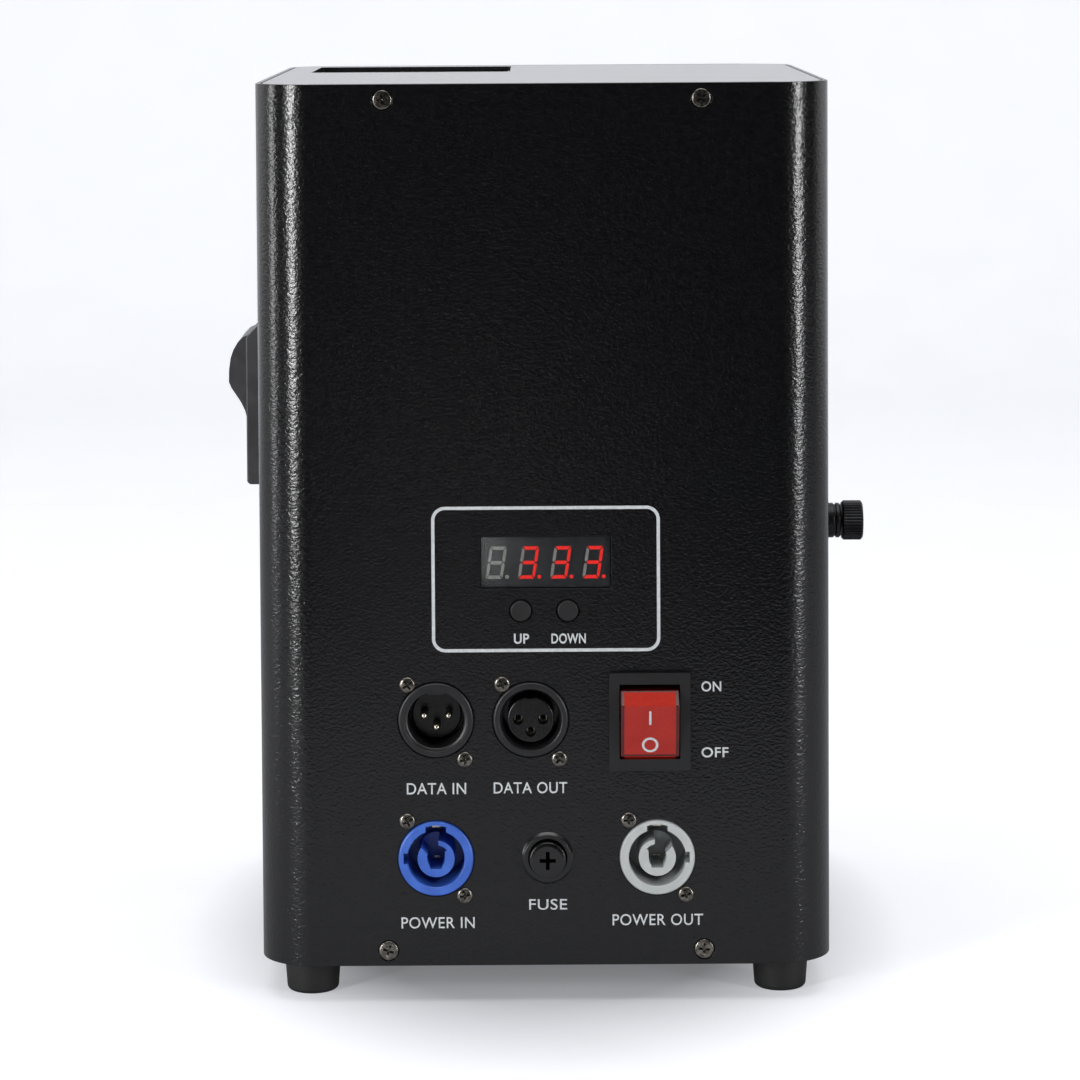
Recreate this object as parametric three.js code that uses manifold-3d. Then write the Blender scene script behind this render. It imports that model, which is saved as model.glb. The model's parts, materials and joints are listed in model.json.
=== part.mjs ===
// Stage flame machine: a sheet-metal tower that holds one fuel can under a flame outlet in its top.
// Sizes are millimetres. X runs right across the connector face, Y away from it, and Z up from the floor.
// The origin is on the floor, under the middle of the case.
import * as THREE from "three";
import { mergeVertices } from "three/addons/utils/BufferGeometryUtils.js";
import Module from "manifold-3d";

const wasm = await Module();
wasm.setup();

// Case
const caseWidth = 186;
const caseDepth = 205;
const caseHeight = 286;
const cornerRadius = 18;
const sheet = 1.5; // thickness of the case sheet
const returnFlange = 8; // flat of the shell past its far corners
const flangeDrop = 13; // folded edges of the top and base plates
const seamGap = 0.7; // seam round the top and base plates
const seatGap = 0.2; // clearance between pieces that seat on each other
const overrun = 3; // how far a cutting solid runs past what it cuts

// Case screws, at the same place on all four corners of a face
const caseScrewSpan = 102.3;
const caseScrewInset = 5;
const caseScrewHead = 6.2;
const caseScrewThread = 3;
const caseScrewLength = 7;
const caseScrewProud = 0.5;
const countersinkDepth = 0.9;
const screwClearance = 0.3;
const crossLength = 3.6;
const crossWidth = 0.8;
const crossDepth = 1;

// Feet
const footHeight = 12;
const footTop = 19.3;
const footBottom = 16.6;
const footEdge = 1.6;
const footSpan = 153.6;
const footInset = 18;
const footRecess = 8;
const footRecessDepth = 7;

// Flame outlet in the top plate
const outletWidth = 70.4;
const outletDepth = 64;
const outletFromLeft = 11.7;
const outletFromFront = 17;

// Panel sockets of the flange type, shared pattern
const socketFlangeWidth = 26;
const socketFlangeHeight = 31;
const socketFlangeThickness = 2;
const socketScrewX = 9.2;
const socketScrewZ = 12.2;
const socketScrewHole = 3.3;
const noseDiameter = 24.3;
const noseProud = 1.2;
const noseChamfer = 0.8;
const noseClearance = 0.3;
const barrelDiameter = 22.6;
const barrelLength = 25;

// Data sockets, heights above the lower edge of the case
const dataHeight = 80.4;
const dataInX = -35.3;
const dataOutX = -4.7;
const dataScrewDrop = 0.7;
const dataBore = 18.4;
const dataBoreDepth = 14;
const insertThickness = 2.5;
const carrierThickness = 1;
const carrierDiameter = 12.6;
const pinDiameter = 2.4;
const pinRecess = 2.6;
const pinX = 4;
const pinRise = 0.7;
const pinDrop = 3.1;
const keyWidth = 5.4;
const keyDrop = 0.9;
const coreDiameter = 14.9;
const contactHole = 3.3;
const contactHoleDepth = 8;

// Power sockets
const powerHeight = 35.2;
const powerInX = -35.6;
const powerOutX = 36.05;
const powerBore = 18.2;
const powerBoreDepth = 17;
const powerCore = 11.9;
const powerCoreHole = 6;
const powerCoreRecess = 1.6;
const powerCoreSlot = 4.6;
const keyNotchWidth = 6.6;
const keyNotchReach = 10.5;
const sideNotchHeight = 3.4;
const sideNotchReach = 10.4;
const notchDepth = 7;
const powerInSlotTurn = 0.42; // radians from straight up
const powerOutSlotTurn = -0.36;

// Fuse holder
const fuseX = 0.55;
const fuseFlange = 17;
const fuseFlangeProud = 1;
const fuseTube = 14.4;
const fuseTubeLength = 40;
const fuseCapDiameter = 11.8;
const fuseCapProud = 4.4;
const fuseCapDepth = 7.5;
const fuseCapClearance = 0.25;
const fuseCapSocket = 4;
const fuseDiameter = 5.2;
const fuseLength = 20;
const fuseClearance = 0.2;
const fuseEndWall = 4;
const fuseSlotLength = 5;

// Rocker switch
const switchX = 33.75;
const switchHeight = 79.8;
const switchBezelWidth = 26.1;
const switchBezelHeight = 31.7;
const switchBezelProud = 2.2;
const switchBodyWidth = 23.4;
const switchBodyHeight = 28.4;
const switchBodyDepth = 22;
const switchPocketWidth = 19.6;
const switchPocketHeight = 24.3;
const switchPocketDepth = 13;
const switchClearance = 0.3;
const rockerTilt = 0.2793; // radians each way from the middle
const rockerPivotDepth = 3.5;
const rockerHalfLength = 11.6;
const rockerFootHalfLength = 9.5;
const rockerRidge = 9.15;
const rockerShoulder = 2.8;
const rockerCrown = 9.1;
const rockerFoot = 4;
const rockerClearance = 0.35;
const pivotStub = 2.4;
const pivotStubLength = 1.2;
const terminalWidth = 6.3;
const terminalThickness = 0.8;
const terminalLength = 8;
const terminalPitchX = 10;
const terminalPitchZ = 13;

// Display, buttons and the board behind them
const displayX = 0.45;
const displayHeight = 131.4;
const displayWidth = 42.3;
const displayTall = 16.8;
const displayClearance = 0.3;
const windowRecess = 0.2;
const windowThickness = 0.9;
const displayModuleDepth = 8.4;
const boardWidth = 65;
const boardTall = 46;
const boardHeight = 130; // middle of the board
const boardThickness = 1.6;
const standoffDiameter = 5.2;
const standoffInset = 5;
const buttonHeight = 115.8;
const upButtonX = -7.7;
const downButtonX = 7.5;
const buttonDiameter = 6.7;
const buttonHole = 7.5;
const buttonProud = 1;
const buttonChamfer = 0.4;
const buttonFlange = 9.2;
const buttonFlangeThickness = 1;
const buttonStem = 3.2;
const buttonStemLength = 3.4;
const buttonTravel = 0.5;
const keySwitchSize = 6;

// Fuel door in the left wall
const doorFromFar = 28.5; // hinge edge, measured from the face opposite the sockets
const doorWidth = 106;
const doorBottom = 18;
const doorHeight = 232;
const doorGap = 0.8;
const doorFrameReach = 8;
const doorFrameLip = 5;
const hingeLength = 120;
const hingeBottom = 74;
const hingeLeafWidth = 9;
const hingeLeafThickness = 1;
const hingeKnuckle = 5.2;
const hingePinDiameter = 2.2;
const hingeClearance = 0.2;
const hingeKnuckleCount = 5;

// Latch on the fuel door
const latchFromDoorEdge = 9.5;
const latchWidth = 45;
const latchBottom = 145.8;
const latchFaceTop = 196.6;
const latchChamfer = 5;
const latchTop = 202.4;
const latchProud = 8.9;
const latchEndWall = 4;
const latchPocketBack = 2.3;
const latchPocketBottom = 162;
const latchHingeRise = 194;
const latchHingeOut = 5.8;
const latchTipRadius = 4.2;
const latchClearance = 0.4;
const latchPinDiameter = 2.4;
const latchPinLength = 43;
const paddleBack = 2.6; // from the pin to the back face of the paddle
const paddleLipOut = 9.4; // from the pin to the tip of the lip
const paddleLipDrop = 13.2;
const paddleScoopDrop = 26;
const paddleScoopOut = 3.2;
const paddleTail = 31.4;
const paddleUnderOut = 4.9; // where the lip's underside bends into the scoop
const paddleUnderDrop = 6.5;
const paddleCrownShare = 0.8; // of the tip radius, at the top of the dome
const paddleDomeShare = 0.35; // of the lip's drop, where the dome bends
const latchBoxWidth = 40;
const latchBoxDepth = 8;
const latchBoxBottom = 164;
const latchBoxTop = 184;
const boltTall = 10;
const boltThick = 4;
const boltSetback = 1.6;
const boltLength = 34;
const boltStop = 1; // the nose stops this far short of the door frame
const boltClearance = 0.25;
const boltRunOut = 5; // room behind the bolt for its travel

// Knurled screw in the right wall
const thumbFromRear = 64.4;
const thumbHeight = 134.7;
const ferruleDiameter = 11.8;
const ferruleLength = 7.5;
const ferruleChamfer = 1.4;
const thumbHead = 13.4;
const thumbHeadLength = 7.1;
const thumbHeadGap = 0.4;
const thumbChamfer = 0.7;
const thumbGrooveDepth = 0.35;
const thumbGrooves = 24;
const thumbThread = 5;
const thumbThreadClearance = 0.25;
const thumbReach = 19; // from the wall in to the tip of the thread
const clipDiameter = 9;
const clipThickness = 1;
const clipSetback = 8;

// Electronics side
const trayFromWall = 11;
const trayNear = 44.5; // from the connector face
const trayFromFar = 12.5;
const trayTop = 163;
const trayFoot = 20;
const nutDiameter = 11;
const nutLength = 5.5;
const nutSides = 6;
const supplyThick = 38;
const supplyLong = 108;
const supplyTall = 95;
const supplyRise = 18;
const supplyFromFront = 14;
const firewallX = -6;
const firewallSheet = 1.2;
const firewallRoomShare = 0.5; // of the way from the sockets' barrels to the lever bracket's shelf
const ignitionThick = 28;
const ignitionLong = 60;
const ignitionTall = 34;
const ignitionHeight = 203;
const ignitionFromRear = 92.5;

// Fuel can, standing under the outlet
const canDiameter = 57;
const canRise = 1.9; // bottom of the can above the floor of the case
const canShoulder = 158;
const canHeight = 176;
const canRim = 27;
const canRimHeight = 5;
const canNeck = 7; // hole in the can's rim that takes the valve's stem
const canNeckDepth = 8;
const canFootDiameter = 50;
const canFootRadius = 2;
const canDimple = 6; // rise of the domed bottom
const canDomeShare = 0.6; // of the foot radius, where the dome flattens
const canDomeRiseShare = 0.7; // of the dimple, at that radius
const shoulderInShare = 0.3; // of the way in to the rim
const shoulderRiseShare = 0.6; // of the way up to the rim
const valveDiameter = 14;
const valveHeight = 10.4;
const valveChamfer = 2;
const valveGap = 3.2; // between the can's rim and the button
const valveStemGrip = 4; // length of stem inside the can
const valveNozzle = 4.4;
const valveNozzleHeight = 3;
const valveClearance = 0.3;
const cradleWall = 1.4;
const cradleHeight = 22;
const cradleClearance = 0.4;
const cradleMouth = 50;
const clipRingRise = 118;
const clipRingHeight = 14;
const clipRingWall = 1.1;
const clipTab = 11;

// Lever and solenoid that press the can's valve
const leverWidth = 10;
const leverThickness = 3;
const leverLift = 0.5; // between the lever and what it presses
const leverPivotBack = 33.5; // pivot to the can's axis
const leverTail = 28; // pivot to the plunger's axis
const leverTailOver = 6;
const leverHub = 8;
const leverRing = 20;
const leverRingHole = 8;
const leverPinDiameter = 3;
const leverPinClearance = 0.2;
const earThickness = 1.6;
const earGap = 2;
const earLong = 16.4;
const earOver = 5.2;
const shelfDrop = 36; // from the lever's underside to the top of the shelf
const shelfSheet = 1.5;
const shelfOver = 8;
const solenoidWidth = 22;
const solenoidHeight = 30;
const plungerDiameter = 6;
const plungerDepth = 18;
const plungerClearance = 0.3;

// Flame duct and ignition electrodes
const ductWall = 1.1;
const ductHeight = 80;
const ductFlange = 2.2;
const ductLiner = 0.3;
const electrodeRise = 16; // above the lower end of the duct
const electrodeSpread = 18;
const electrodeDiameter = 2.5;
const electrodeGap = 5;
const electrodeTail = 20;
const insulatorDiameter = 8;
const insulatorCollar = 12;
const insulatorCollarLength = 3;
const insulatorOut = 14;
const insulatorIn = 7;
const insulatorClearance = 0.25;

// Places worked out from the sizes
const halfWidth = caseWidth / 2;
const rearY = -caseDepth / 2;
const frontY = caseDepth / 2;
const caseBottom = footHeight;
const caseTop = caseBottom + caseHeight;
const floorTop = caseBottom + sheet;
const ceiling = caseTop - sheet;
const leftWall = -halfWidth + sheet;
const rightWall = halfWidth - sheet;
const returnX = halfWidth - cornerRadius - returnFlange;
const outletLeft = -halfWidth + outletFromLeft;
const outletRight = outletLeft + outletWidth;
const outletFar = frontY - outletFromFront;
const outletNear = outletFar - outletDepth;
const canX = (outletLeft + outletRight) / 2;
const canY = (outletNear + outletFar) / 2;
const canBottom = floorTop + canRise;
const canTop = canBottom + canHeight;
const valveBottom = canTop + valveGap;
const valveTop = valveBottom + valveHeight;
const leverBottom = valveTop + leverLift;
const leverPivotY = canY - leverPivotBack;
const leverPivotZ = leverBottom + leverThickness / 2;
const plungerY = leverPivotY - leverTail;
const shelfNearY = plungerY - solenoidWidth / 2 - shelfOver / 2;
const doorFar = frontY - doorFromFar;
const doorNear = doorFar - doorWidth;
const doorLow = caseBottom + doorBottom;
const doorHigh = doorLow + doorHeight;
const hingeX = -halfWidth - seatGap - hingeKnuckle / 2;
const hingeY = doorFar + doorGap;
const latchY = doorNear + latchFromDoorEdge + latchWidth / 2;
const latchFaceX = -halfWidth - latchProud;
const latchPivotX = -halfWidth - latchHingeOut;
const latchPivotZ = caseBottom + latchHingeRise;
const thumbY = rearY + thumbFromRear;
const thumbZ = caseBottom + thumbHeight;
const trayX = halfWidth - trayFromWall;

const roundSteps = 24;
const smallSteps = 16;
const tinySteps = 10;
const cornerSteps = 5;
const wireSteps = 10;
const wireSides = 3;

const machine = new THREE.Group();
machine.name = "flame_machine";

// The connector face has its own frame: x right, y up from the lower edge of the case, z out of the face.
const face = new THREE.Group();
face.position.set(0, rearY, caseBottom);
face.rotation.x = Math.PI / 2;
machine.add(face);

// A closed mesh as a solid that can be joined and cut.
function solid(shape) {
  if (!shape.isBufferGeometry) return shape;
  const bare = shape.index ? shape.toNonIndexed() : shape.clone();
  bare.deleteAttribute("normal");
  bare.deleteAttribute("uv");
  const merged = mergeVertices(bare);
  const corners = merged.index.array;
  const kept = [];
  for (let i = 0; i < corners.length; i += 3) {
    const [a, b, c] = [corners[i], corners[i + 1], corners[i + 2]];
    if (a !== b && b !== c && c !== a) kept.push(a, b, c);
  }
  const vertProperties = merged.attributes.position.array;
  return new wasm.Manifold(new wasm.Mesh({ numProp: 3, vertProperties, triVerts: new Uint32Array(kept) }));
}

function join(...pieces) {
  return pieces.map(solid).reduce((whole, piece) => whole.add(piece));
}

function cut(piece, ...tools) {
  return tools.map(solid).reduce((left, tool) => left.subtract(tool), solid(piece));
}

function finish(color, roughness, metalness = 0) {
  return new THREE.MeshStandardMaterial({ color, roughness, metalness });
}

function place(name, shape, material, home = machine) {
  const raw = solid(shape).getMesh();
  const geometry = new THREE.BufferGeometry();
  geometry.setAttribute("position", new THREE.BufferAttribute(raw.vertProperties, raw.numProp));
  geometry.setIndex(new THREE.BufferAttribute(raw.triVerts, 1));
  geometry.computeVertexNormals();
  const mesh = new THREE.Mesh(geometry, material);
  mesh.name = name;
  home.add(mesh);
  return mesh;
}

const blackPowderCoat = () => finish(0x1a1b1d, 0.55, 0.2);
const barePlate = () => finish(0x8f9294, 0.4, 0.9);
const blackPlastic = () => finish(0x1c1c1e, 0.45);
const nickel = () => finish(0xb9b3aa, 0.3, 1);
const rubber = () => finish(0x1b1b1c, 0.8);

// A box between two limits along each axis.
function block(x0, x1, y0, y1, z0, z1) {
  const box = new THREE.BoxGeometry(x1 - x0, y1 - y0, z1 - z0);
  return box.translate((x0 + x1) / 2, (y0 + y1) / 2, (z0 + z1) / 2);
}

// A turned shape about Z, from a profile of [radius, height] pairs.
function turned(profile, steps = roundSteps) {
  const points = profile.map(([radius, height]) => new THREE.Vector2(radius, height));
  return new THREE.LatheGeometry(points, steps).rotateX(Math.PI / 2);
}

// A round bar about Z between two heights.
function bar(diameter, low, high, steps = smallSteps) {
  const length = high - low;
  const round = new THREE.CylinderGeometry(diameter / 2, diameter / 2, length, steps);
  return round.rotateX(Math.PI / 2).translate(0, 0, (low + high) / 2);
}

// The same bar lying along X or along Y.
function barX(diameter, low, high, steps = smallSteps) {
  return bar(diameter, low, high, steps).rotateY(Math.PI / 2);
}

function barY(diameter, low, high, steps = smallSteps) {
  return bar(diameter, -high, -low, steps).rotateX(Math.PI / 2);
}

// A shape drawn in the YZ plane and pushed along X.
function pushedX(shape, low, high) {
  const solidShape = new THREE.ExtrudeGeometry(shape, { depth: high - low, bevelEnabled: false });
  const turn = new THREE.Matrix4().makeBasis(
    new THREE.Vector3(0, 1, 0),
    new THREE.Vector3(0, 0, 1),
    new THREE.Vector3(1, 0, 0),
  );
  return solidShape.applyMatrix4(turn).translate(low, 0, 0);
}

// A shape drawn in the XZ plane and pushed along Y.
function pushedY(shape, low, high) {
  const solidShape = new THREE.ExtrudeGeometry(shape, { depth: high - low, bevelEnabled: false });
  return solidShape.rotateX(Math.PI / 2).translate(0, high, 0);
}

function outline(points) {
  return new THREE.Shape(points.map(([u, v]) => new THREE.Vector2(u, v)));
}

function roundedPlan(halfX, nearY, farY, radius) {
  const plan = new THREE.Shape();
  plan.moveTo(-halfX + radius, nearY);
  plan.absarc(halfX - radius, nearY + radius, radius, -Math.PI / 2, 0);
  plan.absarc(halfX - radius, farY - radius, radius, 0, Math.PI / 2);
  plan.absarc(-halfX + radius, farY - radius, radius, Math.PI / 2, Math.PI);
  plan.absarc(-halfX + radius, nearY + radius, radius, Math.PI, Math.PI + Math.PI / 2);
  return plan;
}

// The shell is one bent sheet seen from above: far-left return, left wall, connector face, right wall, return.
function shellPlan() {
  const plan = new THREE.Shape();
  const cornerX = halfWidth - cornerRadius;
  const cornerY = frontY - cornerRadius;
  const inner = cornerRadius - sheet;
  const quarter = Math.PI / 2;
  plan.moveTo(-returnX, frontY);
  plan.absarc(-cornerX, cornerY, cornerRadius, quarter, Math.PI);
  plan.absarc(-cornerX, -cornerY, cornerRadius, Math.PI, Math.PI + quarter);
  plan.absarc(cornerX, -cornerY, cornerRadius, -quarter, 0);
  plan.absarc(cornerX, cornerY, cornerRadius, 0, quarter);
  plan.lineTo(returnX, frontY);
  plan.lineTo(returnX, frontY - sheet);
  plan.absarc(cornerX, cornerY, inner, quarter, 0, true);
  plan.absarc(cornerX, -cornerY, inner, 0, -quarter, true);
  plan.absarc(-cornerX, -cornerY, inner, -quarter, -Math.PI, true);
  plan.absarc(-cornerX, cornerY, inner, Math.PI, quarter, true);
  plan.lineTo(-returnX, frontY - sheet);
  return plan;
}

// Cutters through the connector face, drawn in the face's own frame and then stood up with it.
function onFace(shape) {
  return shape.rotateX(Math.PI / 2).translate(0, rearY, caseBottom);
}

function faceHole(diameter, x, y, steps = smallSteps) {
  return onFace(bar(diameter, -sheet - overrun, overrun, steps).translate(x, y, 0));
}

function faceWindow(width, tall, x, y) {
  const [w, t] = [width / 2, tall / 2];
  return onFace(block(x - w, x + w, y - t, y + t, -sheet - overrun, overrun));
}

const socketScrewSides = [-1, 1];
const caseScrewPlaces = [
  ["upper_left", -caseScrewSpan / 2, caseHeight - caseScrewInset],
  ["upper_right", caseScrewSpan / 2, caseHeight - caseScrewInset],
  ["lower_left", -caseScrewSpan / 2, caseScrewInset],
  ["lower_right", caseScrewSpan / 2, caseScrewInset],
];

function countersink(x, y) {
  const wide = caseScrewHead + 2 * screwClearance;
  return onFace(bar(wide, -countersinkDepth, overrun, smallSteps).translate(x, y, 0));
}

function caseShell() {
  const sheetBody = new THREE.ExtrudeGeometry(shellPlan(), {
    depth: caseHeight,
    bevelEnabled: false,
    curveSegments: cornerSteps,
  }).translate(0, 0, caseBottom);
  const cuts = [
    faceWindow(switchBodyWidth + 2 * switchClearance, switchBodyHeight + 2 * switchClearance, switchX, switchHeight),
    faceWindow(displayWidth, displayTall, displayX, displayHeight),
    faceHole(fuseTube + 2 * fuseCapClearance, fuseX, powerHeight),
    faceHole(buttonHole, upButtonX, buttonHeight),
    faceHole(buttonHole, downButtonX, buttonHeight),
  ];
  for (const [x, y, drop] of [
    [dataInX, dataHeight, dataScrewDrop],
    [dataOutX, dataHeight, dataScrewDrop],
    [powerInX, powerHeight, 0],
    [powerOutX, powerHeight, 0],
  ]) {
    cuts.push(faceHole(noseDiameter + 2 * noseClearance, x, y, roundSteps));
    for (const side of socketScrewSides) {
      cuts.push(faceHole(socketScrewHole, x + side * socketScrewX, y - drop - side * socketScrewZ, tinySteps));
    }
  }
  for (const [, x, y] of caseScrewPlaces) {
    cuts.push(countersink(x, y), faceHole(caseScrewThread + 2 * screwClearance, x, y, tinySteps));
  }
  cuts.push(
    block(-halfWidth - overrun, leftWall + overrun, doorNear - doorGap, doorFar + doorGap, doorLow, doorHigh),
  );
  const thumbHole = thumbThread + 2 * thumbThreadClearance;
  cuts.push(barX(thumbHole, rightWall - overrun, halfWidth + overrun, smallSteps).translate(0, thumbY, thumbZ));
  place("case_shell", cut(sheetBody, ...cuts), blackPowderCoat());
}

// Screw holes through the folded edges, at the far and the near side of a plate.
function edgeHoles(z) {
  const hole = caseScrewThread + 2 * screwClearance;
  return [-1, 1].map((side) =>
    barY(hole, rearY - overrun, frontY + overrun, tinySteps).translate((side * caseScrewSpan) / 2, 0, z),
  );
}

// A flat plate inside the shell with a folded edge behind the connector face and one behind the front panel.
function endPlate(outer, inner, edge) {
  const halfX = halfWidth - sheet - seamGap;
  const near = rearY + sheet + seatGap;
  const far = frontY - sheet - seatGap;
  const plan = roundedPlan(halfX, near, far, cornerRadius - sheet - seamGap);
  const low = Math.min(outer, inner);
  const plate = new THREE.ExtrudeGeometry(plan, { depth: sheet, bevelEnabled: false, curveSegments: cornerSteps });
  plate.translate(0, 0, low);
  const foldX = halfWidth - cornerRadius;
  const [foldLow, foldHigh] = [Math.min(outer, edge), Math.max(outer, edge)];
  const nearFold = block(-foldX, foldX, near, near + sheet, foldLow, foldHigh);
  const farFold = block(-foldX, foldX, far - sheet, far, foldLow, foldHigh);
  return join(plate, nearFold, farFold);
}

function topPlate() {
  const outlet = block(outletLeft, outletRight, outletNear, outletFar, ceiling - overrun, caseTop + overrun);
  const plate = endPlate(caseTop, ceiling, caseTop - flangeDrop);
  const holes = edgeHoles(caseTop - caseScrewInset);
  place("top_plate", cut(plate, outlet, ...holes), blackPowderCoat());
}

function basePlate() {
  const plate = endPlate(caseBottom, floorTop, caseBottom + flangeDrop);
  place("base_plate", cut(plate, ...edgeHoles(caseBottom + caseScrewInset)), blackPowderCoat());
}

function frontPanel() {
  const half = returnX - seatGap;
  const panel = block(-half, half, frontY - sheet, frontY, caseBottom, caseTop);
  const holes = [...edgeHoles(caseBottom + caseScrewInset), ...edgeHoles(caseTop - caseScrewInset)];
  place("front_panel", cut(panel, ...holes), blackPowderCoat());
}

function feet() {
  const profile = [
    [0, footRecessDepth],
    [footRecess / 2, footRecessDepth],
    [footRecess / 2, 0],
    [footBottom / 2 - footEdge, 0],
    [footBottom / 2, footEdge],
    [footTop / 2, footHeight],
    [0, footHeight],
  ];
  const inset = caseDepth / 2 - footInset;
  for (const [name, sideX, sideY] of [
    ["foot_near_left", -1, -1],
    ["foot_near_right", 1, -1],
    ["foot_far_left", -1, 1],
    ["foot_far_right", 1, 1],
  ]) {
    const foot = place(name, turned(profile, smallSteps), rubber());
    foot.position.set((sideX * footSpan) / 2, sideY * inset, 0);
  }
}

// A cross recess sunk from a given height.
function crossRecess(length, top) {
  const [l, w] = [length / 2, crossWidth / 2];
  const bottom = top - crossDepth;
  return join(block(-l, l, -w, w, bottom, top + overrun), block(-w, w, -l, l, bottom, top + overrun));
}

function caseScrews() {
  const headFloor = -countersinkDepth + seatGap;
  const radius = caseScrewHead / 2;
  const profile = [
    [0, -caseScrewLength],
    [caseScrewThread / 2, -caseScrewLength],
    [caseScrewThread / 2, headFloor],
    [radius, headFloor],
    [radius, 0],
    [radius - caseScrewProud, caseScrewProud],
    [0, caseScrewProud],
  ];
  for (const [corner, x, y] of caseScrewPlaces) {
    const body = cut(turned(profile, smallSteps), crossRecess(crossLength, caseScrewProud));
    place("case_screw_" + corner, body, nickel(), face).position.set(x, y, 0);
  }
}

// The body that all four panel sockets share: nose through the face, flange and barrel behind it.
function socketBody(bore, boreDepth, screwDrop) {
  const seat = -sheet - seatGap;
  const nose = noseDiameter / 2;
  const body = turned([
    [0, -barrelLength],
    [barrelDiameter / 2, -barrelLength],
    [barrelDiameter / 2, seat - socketFlangeThickness / 2],
    [nose, seat - socketFlangeThickness / 2],
    [nose, noseProud - noseChamfer],
    [nose - noseChamfer, noseProud],
    [0, noseProud],
  ]);
  const [w, h] = [socketFlangeWidth / 2, socketFlangeHeight / 2];
  const flange = block(-w, w, -h - screwDrop, h - screwDrop, seat - socketFlangeThickness, seat);
  const holes = socketScrewSides.map((side) =>
    bar(socketScrewHole, seat - socketFlangeThickness - overrun, seat + overrun / 2, tinySteps).translate(
      side * socketScrewX,
      -screwDrop - side * socketScrewZ,
      0,
    ),
  );
  const hollow = bar(bore, -boreDepth, noseProud + overrun, roundSteps);
  return cut(join(body, flange), hollow, ...holes);
}

function dataInSocket() {
  const reach = dataBore / 2;
  const key = block(
    -keyWidth / 2,
    keyWidth / 2,
    reach - keyDrop,
    reach + keyDrop,
    -dataBoreDepth,
    noseProud - noseChamfer,
  );
  const body = join(socketBody(dataBore, dataBoreDepth, dataScrewDrop), key);
  place("data_in_socket", body, blackPlastic(), face).position.set(dataInX, dataHeight, 0);
  const pinPlaces = [
    [-pinX, pinRise],
    [pinX, pinRise],
    [0, -pinDrop],
  ];
  const carrierLow = -dataBoreDepth + seatGap;
  const carrierHigh = carrierLow + carrierThickness;
  const insertLow = carrierHigh + seatGap;
  const insertDisc = bar(dataBore - 2 * keyDrop - 2 * seatGap, insertLow, insertLow + insertThickness, roundSteps);
  const hole = pinDiameter + 2 * noseClearance;
  const insertHoles = pinPlaces.map(([x, y]) =>
    bar(hole, insertLow - overrun / 2, insertLow + insertThickness + overrun, tinySteps).translate(x, y, 0),
  );
  const insert = place("data_in_insert", cut(insertDisc, ...insertHoles), blackPlastic(), face);
  insert.position.set(dataInX, dataHeight, 0);
  const pins = pinPlaces.map(([x, y]) => bar(pinDiameter, carrierLow, -pinRecess, tinySteps).translate(x, y, 0));
  const contacts = join(bar(carrierDiameter, carrierLow, carrierHigh), ...pins);
  place("data_in_pins", contacts, nickel(), face).position.set(dataInX, dataHeight, 0);
}

function dataOutSocket() {
  const body = socketBody(dataBore, dataBoreDepth, dataScrewDrop);
  place("data_out_socket", body, blackPlastic(), face).position.set(dataOutX, dataHeight, 0);
  const baseLow = -dataBoreDepth + seatGap;
  const baseHigh = baseLow + insertThickness;
  const base = bar(dataBore - 2 * seatGap, baseLow, baseHigh, roundSteps);
  const core = bar(coreDiameter, baseHigh - insertThickness / 2, seatGap, roundSteps);
  const contacts = [
    [-pinX, 0],
    [pinX, 0],
    [0, -pinX],
  ].map(([x, y]) => bar(contactHole, -contactHoleDepth, overrun, tinySteps).translate(x, y, 0));
  const insert = place("data_out_insert", cut(join(base, core), ...contacts), blackPlastic(), face);
  insert.position.set(dataOutX, dataHeight, 0);
}

// The power sockets differ in their colour, the side of their notch and the turn of the slot in the core.
function powerSocket(name, x, notchSide, slotTurn, material) {
  const top = noseProud + overrun;
  const keyNotch = block(-keyNotchWidth / 2, keyNotchWidth / 2, 0, keyNotchReach, -notchDepth, top);
  const sideEnds = [0, notchSide * sideNotchReach].sort((a, b) => a - b);
  const sideNotch = block(...sideEnds, -sideNotchHeight / 2, sideNotchHeight / 2, -notchDepth, top);
  const coreHigh = noseProud - powerCoreRecess;
  const slot = block(-powerCoreSlot / 2, powerCoreSlot / 2, 0, powerCore, -powerBoreDepth + overrun, top);
  const core = cut(
    bar(powerCore, -powerBoreDepth - overrun / 2, coreHigh, smallSteps),
    bar(powerCoreHole, -powerBoreDepth + overrun, top),
    slot.rotateZ(slotTurn),
  );
  const shell = cut(socketBody(powerBore, powerBoreDepth, 0), keyNotch, sideNotch);
  place(name, join(shell, core), material, face).position.set(x, powerHeight, 0);
}

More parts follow.
